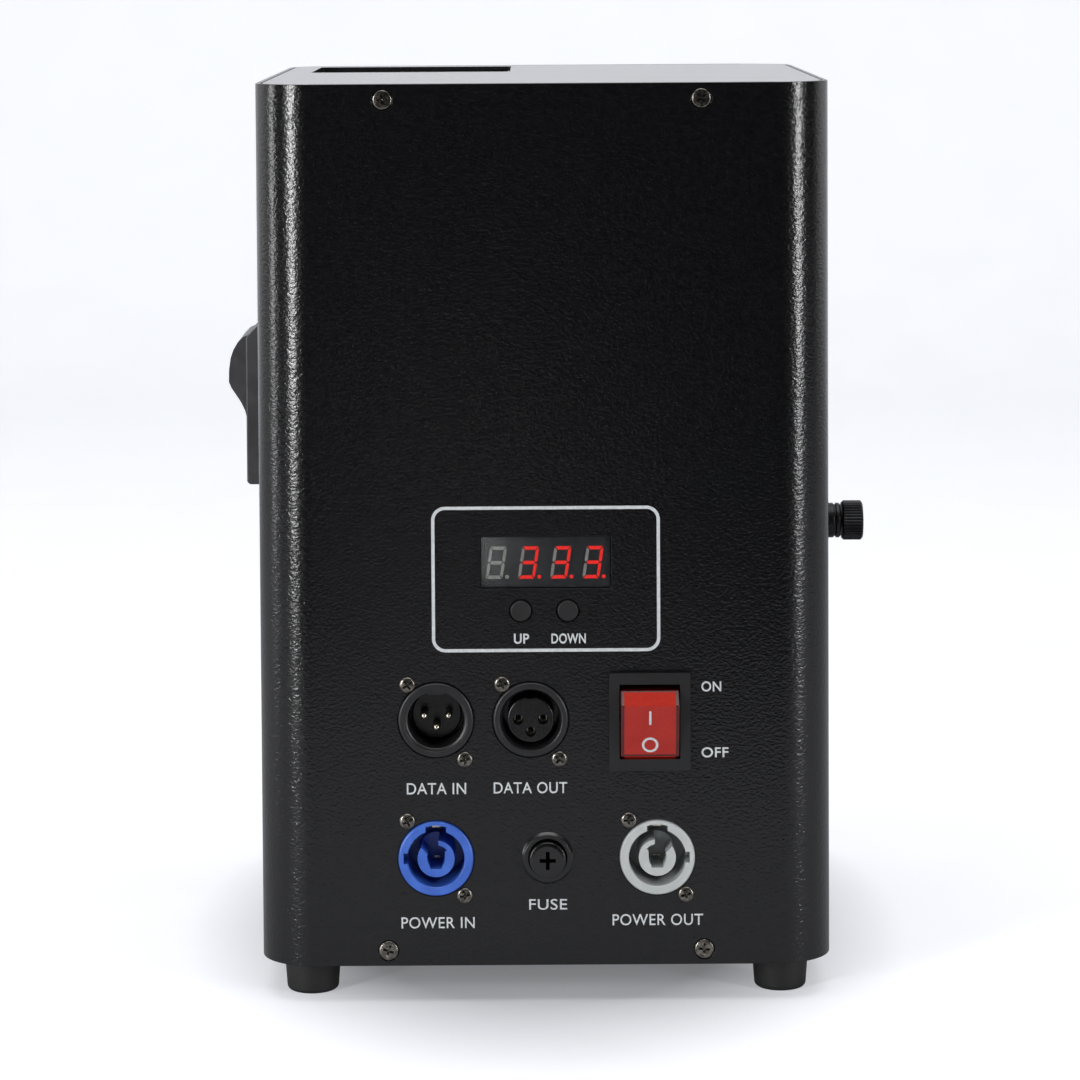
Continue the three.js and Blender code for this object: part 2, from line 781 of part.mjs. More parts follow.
function fuseHolder() {
  const tube = fuseTube / 2;
  const capBore = fuseCapDiameter / 2 + fuseCapClearance;
  const fuseBore = fuseDiameter / 2 + 2 * fuseClearance;
  const capFloor = -fuseCapDepth - seatGap;
  const fuseTop = -fuseCapDepth + fuseCapSocket - seatGap;
  const fuseLow = fuseTop - fuseLength;
  const tubeEnd = Math.min(-fuseTubeLength, fuseLow - fuseEndWall);
  const holder = turned([
    [0, tubeEnd],
    [tube, tubeEnd],
    [tube, seatGap],
    [fuseFlange / 2, seatGap],
    [fuseFlange / 2, seatGap + fuseFlangeProud],
    [capBore, seatGap + fuseFlangeProud],
    [capBore, capFloor],
    [fuseBore, capFloor],
    [fuseBore, tubeEnd + fuseEndWall],
    [0, tubeEnd + fuseEndWall],
  ]);
  place("fuse_holder", holder, blackPlastic(), face).position.set(fuseX, powerHeight, 0);
  const radius = fuseCapDiameter / 2;
  const grip = fuseDiameter / 2 + fuseClearance;
  const capBody = turned([
    [0, -fuseCapDepth + fuseCapSocket],
    [grip, -fuseCapDepth + fuseCapSocket],
    [grip, -fuseCapDepth],
    [radius, -fuseCapDepth],
    [radius, fuseCapProud - buttonChamfer],
    [radius - buttonChamfer, fuseCapProud],
    [0, fuseCapProud],
  ]);
  const cap = place("fuse_cap", cut(capBody, crossRecess(fuseSlotLength, fuseCapProud)), blackPlastic(), face);
  cap.position.set(fuseX, powerHeight, 0);
  const fuse = place("fuse", bar(fuseDiameter, fuseLow, fuseTop), finish(0xc9ccc8, 0.15), face);
  fuse.position.set(fuseX, powerHeight, 0);
}

function rockerSwitch() {
  const [bw, bh] = [switchBezelWidth / 2, switchBezelHeight / 2];
  const [w, h] = [switchBodyWidth / 2, switchBodyHeight / 2];
  const [pw, ph] = [switchPocketWidth / 2, switchPocketHeight / 2];
  const top = seatGap + switchBezelProud;
  const bezel = block(-bw, bw, -bh, bh, seatGap, top);
  const body = block(-w, w, -h, h, -switchBodyDepth, top);
  const terminals = [];
  for (const sideX of [-1, 1]) {
    for (const sideY of [-1, 1]) {
      const blade = block(
        -terminalWidth / 2,
        terminalWidth / 2,
        -terminalThickness / 2,
        terminalThickness / 2,
        -switchBodyDepth - terminalLength,
        -switchBodyDepth + terminalThickness,
      );
      terminals.push(blade.translate((sideX * terminalPitchX) / 2, (sideY * terminalPitchZ) / 2, 0));
    }
  }
  const pocket = block(-pw, pw, -ph, ph, -switchPocketDepth, top + overrun);
  const pivot = barX(pivotStub + 2 * switchClearance, -w - overrun, w + overrun, tinySteps);
  pivot.translate(0, 0, -rockerPivotDepth);
  const housing = cut(join(bezel, body, ...terminals), pocket, pivot);
  place("switch_housing", housing, blackPlastic(), face).position.set(switchX, switchHeight, 0);

  const side = outline([
    [-rockerFootHalfLength, -rockerFoot],
    [rockerFootHalfLength, -rockerFoot],
    [rockerHalfLength, rockerShoulder],
    [rockerRidge, rockerCrown],
    [-rockerRidge, rockerCrown],
    [-rockerHalfLength, rockerShoulder],
  ]);
  const halfRocker = pw - rockerClearance;
  const stub = halfRocker + pivotStubLength;
  const rockerBody = join(pushedX(side, -halfRocker, halfRocker), barX(pivotStub, -stub, stub, tinySteps));
  const rocker = place("switch_rocker", rockerBody, finish(0xb23a30, 0.3), face);
  rocker.position.set(switchX, switchHeight, -rockerPivotDepth);
  rocker.rotation.x = rockerTilt;
}

function displayAndBoard() {
  const w = displayWidth / 2 - displayClearance;
  const t = displayTall / 2 - displayClearance;
  const windowBack = -windowRecess - windowThickness;
  const moduleFront = windowBack - seatGap;
  const moduleBack = moduleFront - displayModuleDepth;
  const glass = place("display_window", block(-w, w, -t, t, windowBack, -windowRecess), finish(0x333538, 0.1), face);
  glass.position.set(displayX, displayHeight, 0);
  const module = place("display_module", block(-w, w, -t, t, moduleBack, moduleFront), blackPlastic(), face);
  module.position.set(displayX, displayHeight, 0);

  const boardFront = moduleBack - seatGap;
  const [bw, bt] = [boardWidth / 2, boardTall / 2];
  const pieces = [block(-bw, bw, -bt, bt, boardFront - boardThickness, boardFront)];
  for (const sideX of [-1, 1]) {
    for (const sideY of [-1, 1]) {
      const post = bar(standoffDiameter, boardFront - boardThickness / 2, -sheet - seatGap, tinySteps);
      pieces.push(post.translate(sideX * (bw - standoffInset), sideY * (bt - standoffInset), 0));
    }
  }
  const stemEnd = -sheet - seatGap - buttonFlangeThickness - buttonStemLength;
  const key = keySwitchSize / 2;
  for (const x of [upButtonX, downButtonX]) {
    const box = block(-key, key, -key, key, boardFront - boardThickness / 2, stemEnd - buttonTravel - seatGap);
    pieces.push(box.translate(x - displayX, buttonHeight - boardHeight, 0));
  }
  const board = place("control_board", join(...pieces), finish(0x1f5a38, 0.5), face);
  board.position.set(displayX, boardHeight, 0);

  const radius = buttonDiameter / 2;
  const flangeTop = -sheet - seatGap;
  const profile = [
    [0, stemEnd],
    [buttonStem / 2, stemEnd],
    [buttonStem / 2, flangeTop - buttonFlangeThickness],
    [buttonFlange / 2, flangeTop - buttonFlangeThickness],
    [buttonFlange / 2, flangeTop],
    [radius, flangeTop],
    [radius, buttonProud - buttonChamfer],
    [radius - buttonChamfer, buttonProud],
    [0, buttonProud],
  ];
  for (const [name, x] of [
    ["up_button", upButtonX],
    ["down_button", downButtonX],
  ]) {
    place(name, turned(profile, smallSteps), blackPlastic(), face).position.set(x, buttonHeight, 0);
  }
}

function fuelDoor() {
  const latchHole = block(
    -halfWidth - overrun,
    leftWall + overrun,
    latchY - latchBoxWidth / 2 - latchClearance,
    latchY + latchBoxWidth / 2 + latchClearance,
    caseBottom + latchBoxBottom - latchClearance,
    caseBottom + latchBoxTop + latchClearance,
  );
  const leaf = block(-halfWidth, leftWall, doorNear, doorFar, doorLow + doorGap, doorHigh - doorGap);
  place("fuel_door", cut(leaf, latchHole), blackPowderCoat());

  const back = leftWall + seatGap;
  const reach = doorFrameReach;
  const ring = block(back, back + sheet, doorNear - reach, doorFar + reach, doorLow - reach, doorHigh + reach);
  const lip = doorFrameLip;
  const mouth = block(
    back - overrun,
    back + sheet + overrun,
    doorNear + lip,
    doorFar - lip,
    doorLow + lip,
    doorHigh - lip,
  );
  place("door_frame", cut(ring, mouth), barePlate());
}

// One hinge leaf: a plate on the wall with knuckles that wrap the pin. side is 1 on the case and -1 on the door.
function hingeLeaf(side, first) {
  const base = caseBottom + hingeBottom;
  const pitch = hingeLength / hingeKnuckleCount;
  const inner = -halfWidth - seatGap;
  const plateNear = hingeKnuckle / 2 + hingeClearance;
  const ends = [hingeY + side * plateNear, hingeY + side * hingeLeafWidth].sort((a, b) => a - b);
  const pieces = [block(inner - hingeLeafThickness, inner, ...ends, base, base + hingeLength)];
  const holes = [];
  for (let i = first; i < hingeKnuckleCount; i += 2) {
    const low = base + i * pitch + (i ? hingeClearance : 0);
    const high = base + (i + 1) * pitch - (i < hingeKnuckleCount - 1 ? hingeClearance : 0);
    const tab = [hingeY, hingeY + side * (plateNear + hingeClearance)].sort((a, b) => a - b);
    pieces.push(block(inner - hingeLeafThickness, inner, ...tab, low, high));
    pieces.push(bar(hingeKnuckle, low, high, smallSteps).translate(hingeX, hingeY, 0));
    const bore = bar(hingePinDiameter + 2 * hingeClearance, low - overrun, high + overrun, tinySteps);
    holes.push(bore.translate(hingeX, hingeY, 0));
  }
  return cut(join(...pieces), ...holes);
}

function doorHinge() {
  place("hinge_case_leaf", hingeLeaf(1, 0), barePlate());
  place("hinge_door_leaf", hingeLeaf(-1, 1), barePlate());
  const base = caseBottom + hingeBottom;
  const pin = place("hinge_pin", bar(hingePinDiameter, base, base + hingeLength, tinySteps), nickel());
  pin.position.set(hingeX, hingeY, 0);
}

// The dome over the lip and the scoop under it, drawn about the latch pin.
function paddleSide() {
  const side = new THREE.Shape();
  const top = latchTipRadius - latchClearance;
  side.moveTo(paddleBack, -paddleTail);
  side.lineTo(paddleBack, top / 2);
  side.lineTo(paddleBack / 2, top * paddleCrownShare);
  side.lineTo(-paddleBack, top * paddleCrownShare);
  side.quadraticCurveTo(-paddleLipOut, -paddleLipDrop * paddleDomeShare, -paddleLipOut, -paddleLipDrop);
  side.quadraticCurveTo(-paddleUnderOut, -paddleLipDrop - paddleUnderDrop, -paddleScoopOut, -paddleScoopDrop);
  side.lineTo(-paddleScoopOut, -paddleTail);
  return side;
}

function doorLatch() {
  const wall = -halfWidth - seatGap;
  const near = latchY - latchWidth / 2;
  const far = latchY + latchWidth / 2;
  const low = caseBottom + latchBottom;
  const faceTop = caseBottom + latchFaceTop;
  const plate = outline([
    [wall, low],
    [wall, caseBottom + latchTop],
    [latchFaceX + latchChamfer, faceTop + latchChamfer],
    [latchFaceX, faceTop],
    [latchFaceX, low],
  ]);
  const pocketHalf = latchWidth / 2 - latchEndWall;
  const pocket = block(
    latchFaceX - overrun,
    -halfWidth - latchPocketBack,
    latchY - pocketHalf,
    latchY + pocketHalf,
    caseBottom + latchPocketBottom,
    latchPivotZ + latchTipRadius,
  );
  const boxHalf = latchBoxWidth / 2;
  const boxLow = caseBottom + latchBoxBottom;
  const boxHigh = caseBottom + latchBoxTop;
  const boxBack = leftWall + latchBoxDepth;
  const box = block(wall - seatGap, boxBack, latchY - boxHalf, latchY + boxHalf, boxLow, boxHigh);
  const boltMid = (boxLow + boxHigh) / 2;
  const boltX = leftWall + boltSetback;
  const boltNear = doorNear + doorFrameLip + boltStop;
  const boltFar = boltNear + boltLength;
  const room = boltClearance;
  const channel = block(
    boltX - room,
    boltX + boltThick + room,
    latchY - boxHalf - overrun,
    boltFar + boltRunOut,
    boltMid - boltTall / 2 - room,
    boltMid + boltTall / 2 + room,
  );
  const pinRoom = barY(latchPinDiameter + 2 * seatGap, latchY - latchPinLength / 2, latchY + latchPinLength / 2);
  pinRoom.translate(latchPivotX, 0, latchPivotZ);
  const frame = cut(join(pushedY(plate, near, far), box), pocket, channel, pinRoom);
  place("latch_frame", frame, blackPlastic());

  const bolt = block(boltX, boltX + boltThick, boltNear, boltFar, boltMid - boltTall / 2, boltMid + boltTall / 2);
  place("latch_bolt", bolt, nickel());

  const paddleHalf = pocketHalf - latchClearance;
  const paddleBody = cut(
    pushedY(paddleSide(), -paddleHalf, paddleHalf),
    barY(latchPinDiameter + 2 * seatGap, -latchWidth, latchWidth),
  );
  place("latch_paddle", paddleBody, blackPlastic()).position.set(latchPivotX, latchY, latchPivotZ);
  const halfPin = latchPinLength / 2 - seatGap;
  const pin = place("latch_pin", barY(latchPinDiameter, -halfPin, halfPin, tinySteps), nickel());
  pin.position.set(latchPivotX, latchY, latchPivotZ);
}

// The head of the knurled screw: a ring of shallow straight grooves.
function grooved(radius, depth, count) {
  const rim = new THREE.Shape();
  for (let i = 0; i < count * 2; i += 1) {
    const angle = (i * Math.PI) / count;
    const reach = i % 2 ? radius - depth : radius;
    const [x, y] = [reach * Math.cos(angle), reach * Math.sin(angle)];
    if (i) rim.lineTo(x, y);
    else rim.moveTo(x, y);
  }
  return rim;
}

function knurledScrew() {
  const wallFace = seatGap;
  const bore = thumbThread / 2 + thumbThreadClearance;
  const rim = ferruleDiameter / 2;
  const ferrule = turned([
    [bore, wallFace],
    [rim - ferruleChamfer, wallFace],
    [rim, wallFace + ferruleChamfer],
    [rim, wallFace + ferruleLength - thumbChamfer],
    [rim - thumbChamfer, wallFace + ferruleLength],
    [bore, wallFace + ferruleLength],
    [bore, wallFace],
  ]);
  const station = new THREE.Group();
  station.position.set(halfWidth, thumbY, thumbZ);
  station.rotation.y = Math.PI / 2;
  machine.add(station);
  place("screw_ferrule", ferrule, blackPlastic(), station);

  const headLow = wallFace + ferruleLength + thumbHeadGap;
  const headHigh = headLow + thumbHeadLength;
  const knurl = new THREE.ExtrudeGeometry(grooved(thumbHead / 2, thumbGrooveDepth, thumbGrooves), {
    depth: thumbHeadLength,
    bevelEnabled: false,
  }).translate(0, 0, headLow);
  const r = thumbHead / 2;
  const trim = turned([
    [0, headLow],
    [r - thumbChamfer, headLow],
    [r, headLow + thumbChamfer],
    [r, headHigh - thumbChamfer],
    [r - thumbChamfer, headHigh],
    [0, headHigh],
  ]);
  const head = solid(knurl).intersect(solid(trim));
  const thread = bar(thumbThread, -thumbReach, headLow + thumbChamfer);
  place("thumbscrew", join(head, thread), blackPlastic(), station);

  const clipLow = -sheet - clipSetback;
  const clip = cut(
    bar(clipDiameter, clipLow, clipLow + clipThickness),
    bar(2 * bore, clipLow - overrun, clipLow + clipThickness + overrun),
  );
  place("thumbscrew_clip", clip, nickel(), station);

  const nutHigh = -trayFromWall - sheet - seatGap;
  const nut = cut(
    bar(nutDiameter, nutHigh - nutLength, nutHigh, nutSides),
    bar(2 * bore, nutHigh - nutLength - overrun, nutHigh + overrun),
  );
  place("tray_nut", nut, nickel(), station);
}

function electronicsSide() {
  const trayY = rearY + trayNear;
  const trayEnd = frontY - trayFromFar;
  const low = floorTop + seatGap;
  const upright = block(trayX - sheet, trayX, trayY, trayEnd, low, caseBottom + trayTop);
  const foot = block(trayX - trayFoot, trayX, trayY, trayEnd, low, low + sheet);
  const hole = barX(thumbThread + 2 * thumbThreadClearance, trayX - sheet - overrun, trayX + overrun);
  hole.translate(0, thumbY, thumbZ);
  place("electronics_tray", cut(join(upright, foot), hole), barePlate());

  const supplyRight = trayX - sheet - seatGap;
  const supplyFar = frontY - sheet - supplyFromFront;
  const supplyLow = low + sheet + supplyRise;
  const supply = block(
    supplyRight - supplyThick,
    supplyRight,
    supplyFar - supplyLong,
    supplyFar,
    supplyLow,
    supplyLow + supplyTall,
  );
  place("power_supply", supply, barePlate());

  const barrelEnd = rearY + barrelLength;
  const near = barrelEnd + (shelfNearY - barrelEnd) * firewallRoomShare;
  const far = frontY - 2 * sheet - 2 * seatGap - seatGap;
  const top = ceiling - seatGap;
  const left = leftWall + sheet + 2 * seatGap; // clear of the door frame
  const right = firewallX + firewallSheet;
  const longLeg = block(firewallX, right, near, far, low, top);
  const shortLeg = block(left, right, near, near + firewallSheet, low, top);
  place("firewall", join(longLeg, shortLeg), barePlate());

  const moduleX = right + seatGap;
  const moduleY = rearY + ignitionFromRear;
  const moduleZ = caseBottom + ignitionHeight;
  const ignition = block(
    moduleX,
    moduleX + ignitionThick,
    moduleY,
    moduleY + ignitionLong,
    moduleZ,
    moduleZ + ignitionTall,
  );
  place("ignition_module", ignition, finish(0x202225, 0.5));
}

function fuelCan() {
  const r = canDiameter / 2;
  const foot = canFootDiameter / 2;
  const rim = canRim / 2;
  const rimLow = canHeight - canRimHeight;
  const body = turned(
    [
      [0, canDimple],
      [foot * canDomeShare, canDimple * canDomeRiseShare],
      [foot, 0],
      [r, canFootRadius],
      [r, canShoulder],
      [r - (r - rim) * shoulderInShare, canShoulder + (rimLow - canShoulder) * shoulderRiseShare],
      [rim - canFootRadius / 2, rimLow],
      [rim, rimLow + canFootRadius / 2],
      [rim, canHeight],
      [canNeck / 2, canHeight],
      [canNeck / 2, canHeight - canNeckDepth],
      [0, canHeight - canNeckDepth],
    ],
    roundSteps,
  );
  const station = new THREE.Group();
  station.position.set(canX, canY, 0);
  machine.add(station);
  place("fuel_can", body, finish(0xc4c7c9, 0.3, 0.8), station).position.z = canBottom;

  const stem = canNeck / 2 - valveClearance;
  const stemEnd = -valveGap - valveStemGrip;
  const valveReach = valveDiameter / 2;
  const valve = turned(
    [
      [0, stemEnd],
      [stem, stemEnd],
      [stem, 0],
      [valveReach, 0],
      [valveReach, valveHeight - valveChamfer],
      [valveReach - valveChamfer, valveHeight],
      [valveNozzle / 2, valveHeight],
      [valveNozzle / 2, valveHeight + valveNozzleHeight],
      [0, valveHeight + valveNozzleHeight],
    ],
    smallSteps,
  );
  place("can_valve", valve, finish(0xe8e6df, 0.4), station).position.z = valveBottom;

  const inner = r + cradleClearance;
  const outer = inner + cradleWall;
  const cradleLow = floorTop + seatGap;
  const cradleFloor = canRise - 2 * seatGap;
  const cup = turned([
    [0, 0],
    [outer, 0],
    [outer, cradleHeight],
    [inner, cradleHeight],
    [inner, cradleFloor],
    [0, cradleFloor],
  ]);
  const mouthHalf = cradleMouth / 2;
  const mouth = block(-outer - overrun, 0, -mouthHalf, mouthHalf, cradleFloor, cradleHeight + overrun);
  place("can_cradle", cut(cup, mouth), barePlate(), station).position.z = cradleLow;

  const clipOuter = inner + clipRingWall;
  const ring = cut(
    bar(2 * clipOuter, 0, clipRingHeight, roundSteps),
    bar(2 * inner, -overrun, clipRingHeight + overrun, roundSteps),
    block(-clipOuter - overrun, 0, -mouthHalf, mouthHalf, -overrun, clipRingHeight + overrun),
  );
  const tabEnd = firewallX - seatGap - canX;
  const tab = block(clipOuter - clipRingWall / 2, tabEnd, -clipTab / 2, clipTab / 2, 0, clipRingHeight);
  place("can_clip", join(ring, tab), barePlate(), station).position.z = canBottom + clipRingRise;
}

function pressGear() {
  const station = new THREE.Group();
  station.position.set(canX, leverPivotY, leverPivotZ);
  machine.add(station);
  const under = leverBottom - leverPivotZ;
  const over = under + leverThickness;
  const half = leverWidth / 2;
  const lever = join(
    block(-half, half, -leverTail - leverTailOver, leverPivotBack, under, over),
    bar(leverRing, under, over, smallSteps).translate(0, leverPivotBack, 0),
    barX(leverHub, -half, half, tinySteps),
  );
  const ringHole = bar(leverRingHole, under - overrun, over + overrun, tinySteps).translate(0, leverPivotBack, 0);
  const pinHole = barX(leverPinDiameter + 2 * leverPinClearance, -half - overrun, half + overrun, tinySteps);
  place("press_lever", cut(lever, ringHole, pinHole), nickel(), station);

  const earIn = half + earGap;
  const earOut = earIn + earThickness;
  place("lever_pin", barX(leverPinDiameter, -earOut, earOut, tinySteps), nickel(), station);

  const shelfTop = under - shelfDrop;
  const shelfLow = shelfTop - shelfSheet;
  const solenoidHalf = solenoidWidth / 2;
  const shelfNear = shelfNearY - leverPivotY;
  const shelfFar = -earLong / 2 + earOver;
  const fireSide = firewallX - seatGap - canX;
  const shelf = block(-solenoidHalf - shelfOver / 2, fireSide, shelfNear, shelfFar, shelfLow, shelfTop);
  const riser = block(fireSide - shelfSheet, fireSide, shelfNear, shelfFar, shelfLow, under - shelfOver);
  const ears = [-1, 1].map((side) => {
    const ends = [side * earIn, side * earOut].sort((a, b) => a - b);
    return block(...ends, -earLong + earOver, earOver, shelfLow, leverHub / 2 + earThickness);
  });
  const bore = leverPinDiameter + 2 * leverPinClearance;
  const earHole = barX(bore, -earOut - overrun, earOut + overrun, tinySteps);
  place("lever_bracket", cut(join(shelf, riser, ...ears), earHole), barePlate(), station);

  const coilLow = shelfTop + seatGap;
  const coilTop = coilLow + solenoidHeight;
  const well = bar(plungerDiameter + 2 * plungerClearance, coilTop - plungerDepth - seatGap, coilTop + overrun);
  const coil = cut(block(-solenoidHalf, solenoidHalf, -solenoidHalf, solenoidHalf, coilLow, coilTop), well);
  place("solenoid", coil, finish(0x3a3d42, 0.4, 0.6), station).position.y = -leverTail;
  const plunger = bar(plungerDiameter, coilTop - plungerDepth, under - leverLift);
  place("solenoid_plunger", plunger, nickel(), station).position.y = -leverTail;
}

function flameDuct() {
  const top = ceiling - seatGap;
  const low = ceiling - ductHeight;
  const [x0, x1] = [outletLeft - ductLiner, outletRight + ductLiner];
  const [y0, y1] = [outletNear - ductLiner, outletFar + ductLiner];
  const wall = ductWall;
  const lip = wall + ductFlange;
  const tube = join(
    block(x0 - wall, x1 + wall, y0 - wall, y1 + wall, low, top),
    block(x0 - lip, x1 + lip, y0 - lip, y1 + lip, top - wall, top),
  );
  const bore = block(x0, x1, y0, y1, low - overrun, top + overrun);
  const height = low + electrodeRise;
  const holes = [-1, 1].map((side) =>
    barY(insulatorDiameter + 2 * insulatorClearance, y0 - wall - overrun, y0 + overrun).translate(
      canX + (side * electrodeSpread) / 2,
      0,
      height,
    ),
  );
  place("flame_duct", cut(tube, bore, ...holes), finish(0x4b4d4f, 0.5, 0.8));

  const seat = y0 - wall - seatGap;
  for (const [name, side] of [
    ["left", -1],
    ["right", 1],
  ]) {
    const x = canX + (side * electrodeSpread) / 2;
    const ceramic = cut(
      join(
        barY(insulatorDiameter, seat - insulatorOut, seat + insulatorIn),
        barY(insulatorCollar, seat - insulatorCollarLength, seat),
      ),
      barY(
        electrodeDiameter + 2 * insulatorClearance,
        seat - insulatorOut - overrun,
        seat + insulatorIn + overrun,
        tinySteps,
      ),
    );
    place("insulator_" + name, ceramic, finish(0xece7da, 0.35)).position.set(x, 0, height);
    const path = new THREE.CurvePath();
    const bendStart = seat + insulatorIn + electrodeDiameter;
    const tip = new THREE.Vector3((-side * (electrodeSpread - electrodeGap)) / 2, canY, 0);
    const corner = new THREE.Vector3(0, (bendStart + canY) / 2, 0);
    const start = new THREE.Vector3(0, seat - electrodeTail, 0);
    const bend = new THREE.Vector3(0, bendStart, 0);
    path.add(new THREE.LineCurve3(start, bend));
    path.add(new THREE.QuadraticBezierCurve3(bend, corner, tip));
    const section = new THREE.Shape();
    section.absarc(0, 0, electrodeDiameter / 2, 0, Math.PI * 2);
    const wire = new THREE.ExtrudeGeometry(section, { steps: wireSteps, curveSegments: wireSides, extrudePath: path });
    place("electrode_" + name, wire, nickel()).position.set(x, 0, height);
  }
}

caseShell();
topPlate();
basePlate();
frontPanel();
feet();
caseScrews();
dataInSocket();
dataOutSocket();
powerSocket("power_in_socket", powerInX, -1, powerInSlotTurn, finish(0x557ddc, 0.4));
powerSocket("power_out_socket", powerOutX, 1, powerOutSlotTurn, finish(0xd0d4d2, 0.4));
fuseHolder();
rockerSwitch();
displayAndBoard();
fuelDoor();
doorHinge();
doorLatch();
knurledScrew();
electronicsSide();
fuelCan();
pressGear();
flameDuct();

export default machine;
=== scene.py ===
import json
import math

import bmesh
import bpy
from mathutils import Matrix, Vector


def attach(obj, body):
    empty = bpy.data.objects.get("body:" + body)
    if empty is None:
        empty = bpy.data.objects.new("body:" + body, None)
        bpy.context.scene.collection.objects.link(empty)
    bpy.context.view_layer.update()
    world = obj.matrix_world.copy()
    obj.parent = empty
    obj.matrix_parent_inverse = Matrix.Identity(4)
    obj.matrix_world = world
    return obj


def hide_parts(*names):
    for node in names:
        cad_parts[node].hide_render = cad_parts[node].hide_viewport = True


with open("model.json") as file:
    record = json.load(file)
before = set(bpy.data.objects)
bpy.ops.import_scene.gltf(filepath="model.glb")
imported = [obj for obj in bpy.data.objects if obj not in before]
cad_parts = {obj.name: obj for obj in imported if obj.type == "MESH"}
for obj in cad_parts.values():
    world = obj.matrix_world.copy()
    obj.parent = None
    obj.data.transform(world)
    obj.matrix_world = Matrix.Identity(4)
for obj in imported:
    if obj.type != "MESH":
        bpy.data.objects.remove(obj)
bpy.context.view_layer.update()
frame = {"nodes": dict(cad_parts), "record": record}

scene = bpy.context.scene
nodes = frame["nodes"]

# The case in mm. Panel pieces are placed from its lower edge, on its connector face.
case = {
    "width": 186, "depth": 205, "height": 286, "lift": 12,
    "cornerRadius": 18, "sheet": 1.5, "screwSpan": 102.3, "screwInset": 5,
}
rearY = -case["depth"] / 2
frontY = case["depth"] / 2
halfWidth = case["width"] / 2
caseTop = case["lift"] + case["height"]

inMetres = Matrix.Scale(0.001, 4)
onPanel = inMetres @ Matrix.Translation((0, rearY, case["lift"])) @ Matrix.Rotation(math.pi / 2, 4, "X")


# A spot on the connector face: x right, y up from the case's lower edge, z out of the face.
def panelSpot(x, y, z=0):
    return onPanel @ Matrix.Translation((x, y, z))


def linearColor(hexText):
    parts = [int(hexText[i:i + 2], 16) / 255 for i in (1, 3, 5)]
    return [c / 12.92 if c <= 0.04045 else ((c + 0.055) / 1.055) ** 2.4 for c in parts] + [1.0]


def addNode(tree, kind, settings=None, inputs=None, links=None):
    node = tree.nodes.new(kind)
    for key, value in (settings or {}).items():
        setattr(node, key, value)
    for key, value in (inputs or {}).items():
        node.inputs[key].default_value = value
    for key, source in (links or {}).items():
        tree.links.new(source, node.inputs[key])
    return node


print("helpers ready")


# Shapes, in mm, each in its piece's own frame: flat outlines first.
def arc(x, y, radius, start, end, steps):
    angles = [math.radians(start + (end - start) * k / steps) for k in range(steps + 1)]
    return [(x + radius * math.cos(angle), y + radius * math.sin(angle)) for angle in angles]


def roundedRect(width, height, radius, x=0, y=0, steps=6):
    points = []
    for start, sx, sy in ((-90, 1, -1), (0, 1, 1), (90, -1, 1), (180, -1, -1)):
        middle = (x + sx * (width / 2 - radius), y + sy * (height / 2 - radius))
        points += arc(*middle, radius, start, start + 90, steps)
    return points


def circle(diameter, x=0, y=0, steps=48):
    return arc(x, y, diameter / 2, 0, 360, steps)[:-1]


def bridge(shape, first, second):
    for i in range(len(first)):
        j = (i + 1) % len(first)
        shape.faces.new((first[i], first[j], second[j], second[i]))


def prism(points, low, high):
    shape = bmesh.new()
    bottom = [shape.verts.new((x, y, low)) for x, y in points]
    top = [shape.verts.new((x, y, high)) for x, y in points]
    shape.faces.new(bottom)
    shape.faces.new(top)
    bridge(shape, bottom, top)
    return shape


def block(x0, x1, y0, y1, z0, z1):
    return prism([(x0, y0), (x1, y0), (x1, y1), (x0, y1)], z0, z1)


# A turned shape about Z from radius and height pairs, which start and end on the axis or close on themselves.
def lathe(profile, steps=64):
    shape = bmesh.new()
    rings = []
    for radius, height in profile:
        if rings and (radius, height) == tuple(profile[0]):
            rings.append(rings[0])
        elif radius == 0:
            rings.append([shape.verts.new((0, 0, height))] * steps)
        else:
            rings.append([shape.verts.new((x, y, height)) for x, y in circle(2 * radius, steps=steps)])
    for lower, upper in zip(rings, rings[1:]):
        for k in range(steps):
            n = (k + 1) % steps
            corners = list(dict.fromkeys((lower[k], lower[n], upper[n], upper[k])))
            if len(corners) > 2:
                shape.faces.new(corners)
    return shape


def rod(diameter, low, high, steps=48):
    return prism(circle(diameter, steps=steps), low, high)


# A bar with its end edges broken.
def roundedBar(radius, low, high, edge):
    return lathe([(0, low), (radius - edge, low), (radius, low + edge), (radius, high - edge),
                  (radius - edge, high), (0, high)], 40)


def moved(shape, x=0, y=0, z=0, turn=0, axis="Z"):
    shape.transform(Matrix.Translation((x, y, z)) @ Matrix.Rotation(turn, 4, axis))
    return shape


def alongX(shape):
    shape.transform(Matrix.Rotation(math.pi / 2, 4, "Y"))
    return shape


def alongY(shape):
    shape.transform(Matrix.Rotation(-math.pi / 2, 4, "X"))
    return shape


# Round bars and bores along X or Y, with their axis through a spot.
def barX(diameter, low, high, steps, x=0, y=0, z=0):
    return moved(alongX(rod(diameter, low, high, steps)), x, y, z)


def barY(diameter, low, high, steps, x=0, y=0, z=0):
    return moved(alongY(rod(diameter, low, high, steps)), x, y, z)


# An outline in the YZ plane of the machine, pushed along X, and one in the XZ plane, pushed along Y.
def pushedX(points, low, high):
    shape = prism(points, low, high)
    shape.transform(Matrix(((0, 0, 1, 0), (1, 0, 0, 0), (0, 1, 0, 0), (0, 0, 0, 1))))
    return shape


def pushedY(points, low, high):
    shape = prism(points, -high, -low)
    shape.transform(Matrix.Rotation(math.pi / 2, 4, "X"))
    return shape


def together(*shapes):
    whole = shapes[0]
    for shape in shapes[1:]:
        spare = bpy.data.meshes.new("spare")
        shape.to_mesh(spare)
        whole.from_mesh(spare)
        shape.free()
        bpy.data.meshes.remove(spare)
    return whole


